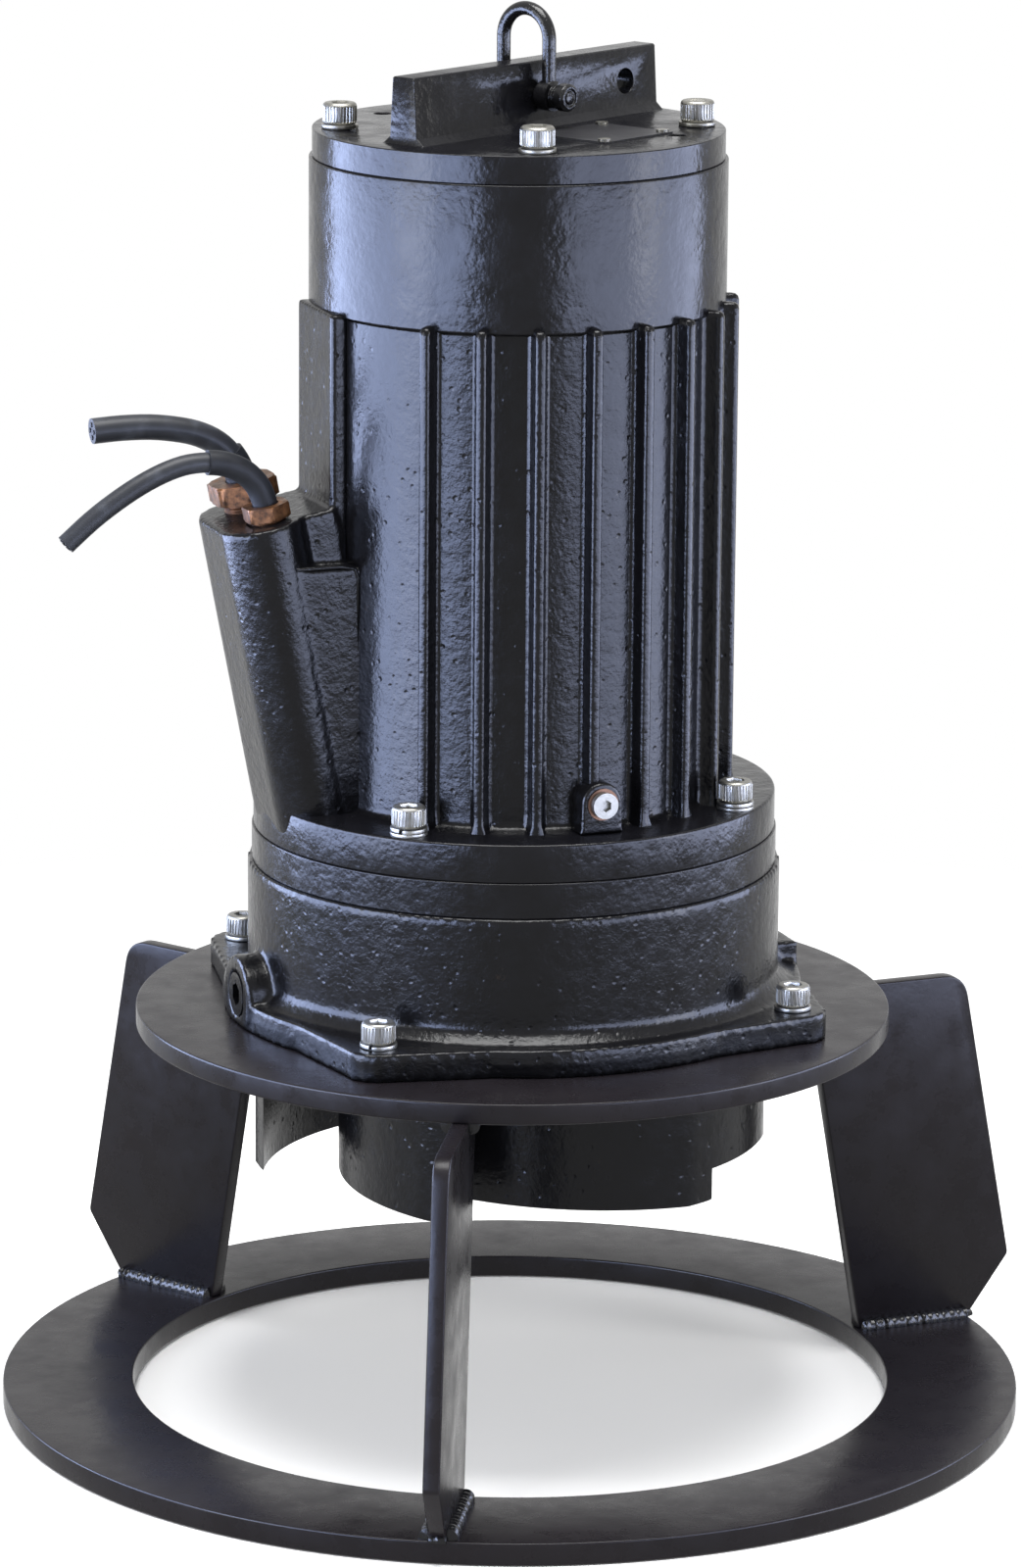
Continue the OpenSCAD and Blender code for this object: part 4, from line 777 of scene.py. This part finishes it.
tree.links.new(
    node(tree, "ShaderNodeBump", {
        "Height": node(tree, "ShaderNodeTexNoise", {"Vector": at, "Scale": 1 / (0.7 * mm), "Detail": 3}),
        "Distance": 0.05 * mm}).outputs[0],
    shader.inputs["Normal"])


def gland_nut(name, flats, height, bore, up, side):
    """A chamfered hexagon nut on the gland's axis."""
    points, sides = [], 96
    rings = [(bore, 0, 0), (flats + 0.8, 0, 1), (flats + 2.4, 0.7, 1), (flats + 2.4, height - 0.7, 1),
             (flats + 0.8, height, 1), (bore, height, 0)]
    for r, z, hexed in rings:
        for k in range(sides):
            a = 2 * math.pi * k / sides
            limit = flats / math.cos((a + math.pi / 6) % (math.pi / 3) - math.pi / 6)
            out = min(r, limit) if hexed else r
            points.append((out * math.cos(a), out * math.sin(a), z))
    moved = [turret_point(gland_x + x, side + y, turret_l + up + z) for x, y, z in points]
    return mesh_of(name, moved, walls(len(rings), sides, closed=True))


def threaded_neck(name, radius, bore, low, high, side):
    """A neck with rolled thread ridges between low and high on the gland's axis."""
    pitch = 1.5
    profile = [(bore, low), (radius - 0.6, low)]
    z = low + 0.4
    while z < high - pitch:
        profile += [(radius - 0.7, z), (radius - 0.05, z + pitch * 0.4), (radius - 0.05, z + pitch * 0.55)]
        z += pitch
    profile += [(radius - 0.6, high), (bore, high)]
    points, faces = lathe(profile, 64)
    return mesh_of(name, [turret_point(gland_x + x, side + y, turret_l + z) for x, y, z in points], faces)


for word, side, neck, bore, up, nut_h, flats, lip in (
        ("power", -gland_t, 11, 6.5, 5, 9.5, 14.9, 7.8), ("control", gland_t, 8.4, 5.1, 1.5, 7, 10.05, 6.4)):
    made = place(word + "_gland", threaded_neck(word + "_gland", neck, bore, -14, up + nut_h * 0.8, side), gland_metal,
                 "housing", word + "_gland", smooth=30)
    made = place(word + "_gland_nut", gland_nut(word + "_gland_nut", flats, nut_h, lip, up, side), gland_metal,
                 "housing", word + "_gland_nut", smooth=28)


# The impeller is one iron casting: a shroud disc, a hub and six vanes curved back, dipped in the same
# enamel. Its bolt, washer and key hold it on the shaft.
made = place("impeller", eased("impeller", own_copy("impeller"), 0.8, 3, 30), cast_enamel, "rotor", "impeller",
             smooth=35)


# Inside turn the shaft and the rotor: ground steel, sheet stacks and cast aluminium end rings. Nobody
# sees them while the machine is whole, but each has the finish of the real part.

# ground steel: bright, with a fine lay round the axis
ground, tree, shader, at = finish("ground_bearing_steel", Metallic=1.0, Roughness=0.22)
around = node(tree, "ShaderNodeMapping", {"Vector": at, "Scale": (0.2, 0.2, 1)})
lines = node(tree, "ShaderNodeTexNoise", {"Vector": around, "Scale": 1 / (0.7 * mm), "Detail": 3})
tree.links.new(
    node(tree, "ShaderNodeMix", {
        0: lines, 6: linear("#8E8E90"), 7: linear("#C4C4C6")}, data_type="RGBA").outputs[2],
    shader.inputs["Base Color"])
tree.links.new(
    node(tree, "ShaderNodeMapRange", {
        "Value": lines, "From Min": 0.3, "From Max": 0.7, "To Min": 0.16, "To Max": 0.3}).outputs[0],
    shader.inputs["Roughness"])
paint(ground, "shaft", "lower_bearing_outer", "lower_bearing_inner", "upper_bearing_outer", "upper_bearing_inner",
      "lower_ball_set", "upper_ball_set", "bearing_circlip", "wave_spring", "impeller_key")

# a varnished stack of sheet steel, whose edges show as fine lines; the sheets are half a millimetre
# thick, drawn at one so that they show
sheets, tree, shader, at = finish("varnished_electrical_sheet", Metallic=0.8, Roughness=0.45)
stack = node(tree, "ShaderNodeTexWave", {"Vector": at, "Scale": 1 / (2 * math.pi * 1.0 * mm)}, bands_direction="Z")
tree.links.new(
    node(tree, "ShaderNodeMix", {
        0: stack.outputs["Fac"], 6: linear("#2B2B2E"), 7: linear("#5A5A5E")}, data_type="RGBA").outputs[2],
    shader.inputs["Base Color"])
tree.links.new(
    node(tree, "ShaderNodeBump", {"Height": stack.outputs["Fac"], "Distance": 0.05 * mm}).outputs[0],
    shader.inputs["Normal"])
paint(sheets, "stator_core", "rotor_core")

# lacquered round wire, wound in turns of just under a millimetre
wire, tree, shader, at = finish("enamelled_copper_wire", Metallic=0.7, Roughness=0.35)
turns = node(tree, "ShaderNodeTexWave", {"Vector": at, "Scale": 1 / (2 * math.pi * 0.9 * mm), "Distortion": 6,
                                         "Detail": 2, "Detail Scale": 1.5}, bands_direction="DIAGONAL")
tree.links.new(
    node(tree, "ShaderNodeMix", {
        0: turns.outputs["Fac"], 6: linear("#4E1F0D"), 7: linear("#A8592C")}, data_type="RGBA").outputs[2],
    shader.inputs["Base Color"])
tree.links.new(
    node(tree, "ShaderNodeBump", {"Height": turns.outputs["Fac"], "Distance": 0.3 * mm}).outputs[0],
    shader.inputs["Normal"])
paint(wire, "stator_coils")

for name, settings, low, high, patch, patch_detail, grain, grain_detail, depth, pieces in (
        # pressure-cast aluminium: pale, with a fine skin
        ("cast_aluminium", {"Metallic": 1.0, "Roughness": 0.42}, "#A2A3A5", "#C6C7C9", 5, 4, 1.5, 3, 0.08,
         ["rotor_end_rings"]),
        # moulded nitrile rubber: black and matte
        ("nitrile_rubber", {"Roughness": 0.55, "Specular_IOR_Level": 0.35}, "#151516", "#232325", 6, 3, 0.9, 2, 0.03,
         ["casing_oring", "frame_oring", "lid_oring", "lip_seal", "seal_bellows", "power_grommet", "control_grommet"]),
        # lapped silicon carbide: dark grey and very smooth
        ("lapped_silicon_carbide", {"Roughness": 0.25, "Specular_IOR_Level": 0.6}, "#26272B", "#3A3C42", 0.6, 2, 0.4,
         2, 0.01, ["lower_seal_seat", "upper_seal_seat", "lower_seal_ring", "upper_seal_ring"])):
    made, tree, shader, at = finish(name, **settings)
    tree.links.new(
        node(tree, "ShaderNodeMix", {
            0: node(tree, "ShaderNodeTexNoise", {
                "Vector": at, "Scale": 1 / (patch * mm), "Detail": patch_detail}),
            6: linear(low), 7: linear(high)}, data_type="RGBA").outputs[2],
        shader.inputs["Base Color"])
    tree.links.new(
        node(tree, "ShaderNodeBump", {
            "Height": node(tree, "ShaderNodeTexNoise", {
                "Vector": at, "Scale": 1 / (grain * mm), "Detail": grain_detail}),
            "Distance": depth * mm}).outputs[0],
        shader.inputs["Normal"])
    paint(made, *pieces)


# The studio: a wide pale floor that goes over into white away from the stand, a large soft box at the
# left, a smaller one at the right and a light from above. Two cards put long streaks into the gloss.

# matte paper, white in the mirror of the gloss and away from the stand
paper, tree, shader, at = finish("pale_paper", Roughness=0.9, Specular_IOR_Level=0.1)
tree.links.new(
    node(tree, "ShaderNodeMix", {
        0: node(tree, "ShaderNodeTexNoise", {"Vector": at, "Scale": 1 / (400 * mm), "Detail": 2}),
        6: linear("#F2F2F2"), 7: linear("#F7F7F7")}, data_type="RGBA").outputs[2],
    shader.inputs["Base Color"])
glow = node(tree, "ShaderNodeEmission", {"Color": (1, 1, 1, 1), "Strength": 1.0})
ray = node(tree, "ShaderNodeLightPath").outputs
away = node(tree, "ShaderNodeMapRange", {
    "Value": node(tree, "ShaderNodeVectorMath", {0: at}, operation="LENGTH").outputs["Value"], "From Min": 0.42,
    "From Max": 1.1})
plain = node(tree, "ShaderNodeMath", {0: ray["Is Camera Ray"], 1: away}, operation="MULTIPLY")
seen = node(tree, "ShaderNodeMath", {0: plain, 1: node(tree, "ShaderNodeMath", {
    0: ray["Is Glossy Ray"], 1: ray["Is Transmission Ray"]}, operation="MAXIMUM")}, operation="MAXIMUM")
floor_mix = node(tree, "ShaderNodeMixShader", {0: seen, 1: shader, 2: glow})
out = next(n for n in tree.nodes if n.type == "OUTPUT_MATERIAL")
tree.links.new(floor_mix.outputs[0], out.inputs["Surface"])
floor_half, floor_z = 15000, -0.3
floor_points = [(x * floor_half, y * floor_half, floor_z) for x, y in ((-1, -1), (1, -1), (1, 1), (-1, 1))]
floor = bpy.data.objects.new("floor", mesh_of("floor", floor_points, [(0, 1, 2, 3)]))
bpy.context.scene.collection.objects.link(floor)
floor.data.materials.append(paper)

world = bpy.data.worlds.new("studio")
bpy.context.scene.world = world
world.use_nodes = True
tree = world.node_tree
tree.nodes.clear()
ray = node(tree, "ShaderNodeLightPath").outputs
shown = node(tree, "ShaderNodeMath", {0: ray["Is Camera Ray"], 1: node(tree, "ShaderNodeMath", {
    0: ray["Is Glossy Ray"], 1: ray["Is Transmission Ray"]}, operation="MAXIMUM")}, operation="MAXIMUM")
dim = node(tree, "ShaderNodeBackground", {"Color": (1, 1, 1, 1), "Strength": 0.8})
white = node(tree, "ShaderNodeBackground", {"Color": (1, 1, 1, 1), "Strength": 1.0})
node(tree, "ShaderNodeOutputWorld", {"Surface": node(tree, "ShaderNodeMixShader", {
    0: shown, 1: dim, 2: white})})

for name, where, aim, size_x, size_y, power, colour in (
        ("soft_box_left", (-2100, -1300, 900), (0, 0, 380), 900, 1900, 34, (0.95, 0.97, 1.0)),
        ("soft_box_right", (2300, -700, 900), (0, 0, 380), 600, 1700, 22, (1.0, 0.99, 0.97)),
        ("top_light", (0, -300, 2500), (0, 0, 300), 1600, 1200, 105, (1.0, 1.0, 1.0)),
        ("left_card", (-750, -700, 390), (0, -700, 390), 2200, 480, 79, (0.49, 0.60, 0.95)),
        ("right_card", (750, -700, 390), (0, -700, 390), 2000, 480, 39, (0.58, 0.66, 0.95))):
    lamp = bpy.data.objects.new(name, bpy.data.lights.new(name, "AREA"))
    lamp.data.shape = "RECTANGLE"
    lamp.data.size, lamp.data.size_y = size_x * mm, size_y * mm
    lamp.data.energy, lamp.data.color = power, colour
    lamp.location = Vector(where) * mm
    lamp.rotation_euler = (Vector(aim) - Vector(where)).to_track_quat("-Z", "Y").to_euler()
    lamp.visible_camera = False
    # the two cards only put their reflection in gloss, and add no light to the colours
    lamp.visible_diffuse = not name.endswith("card")
    bpy.context.scene.collection.objects.link(lamp)

bpy.context.scene.view_settings.view_transform = "Standard"
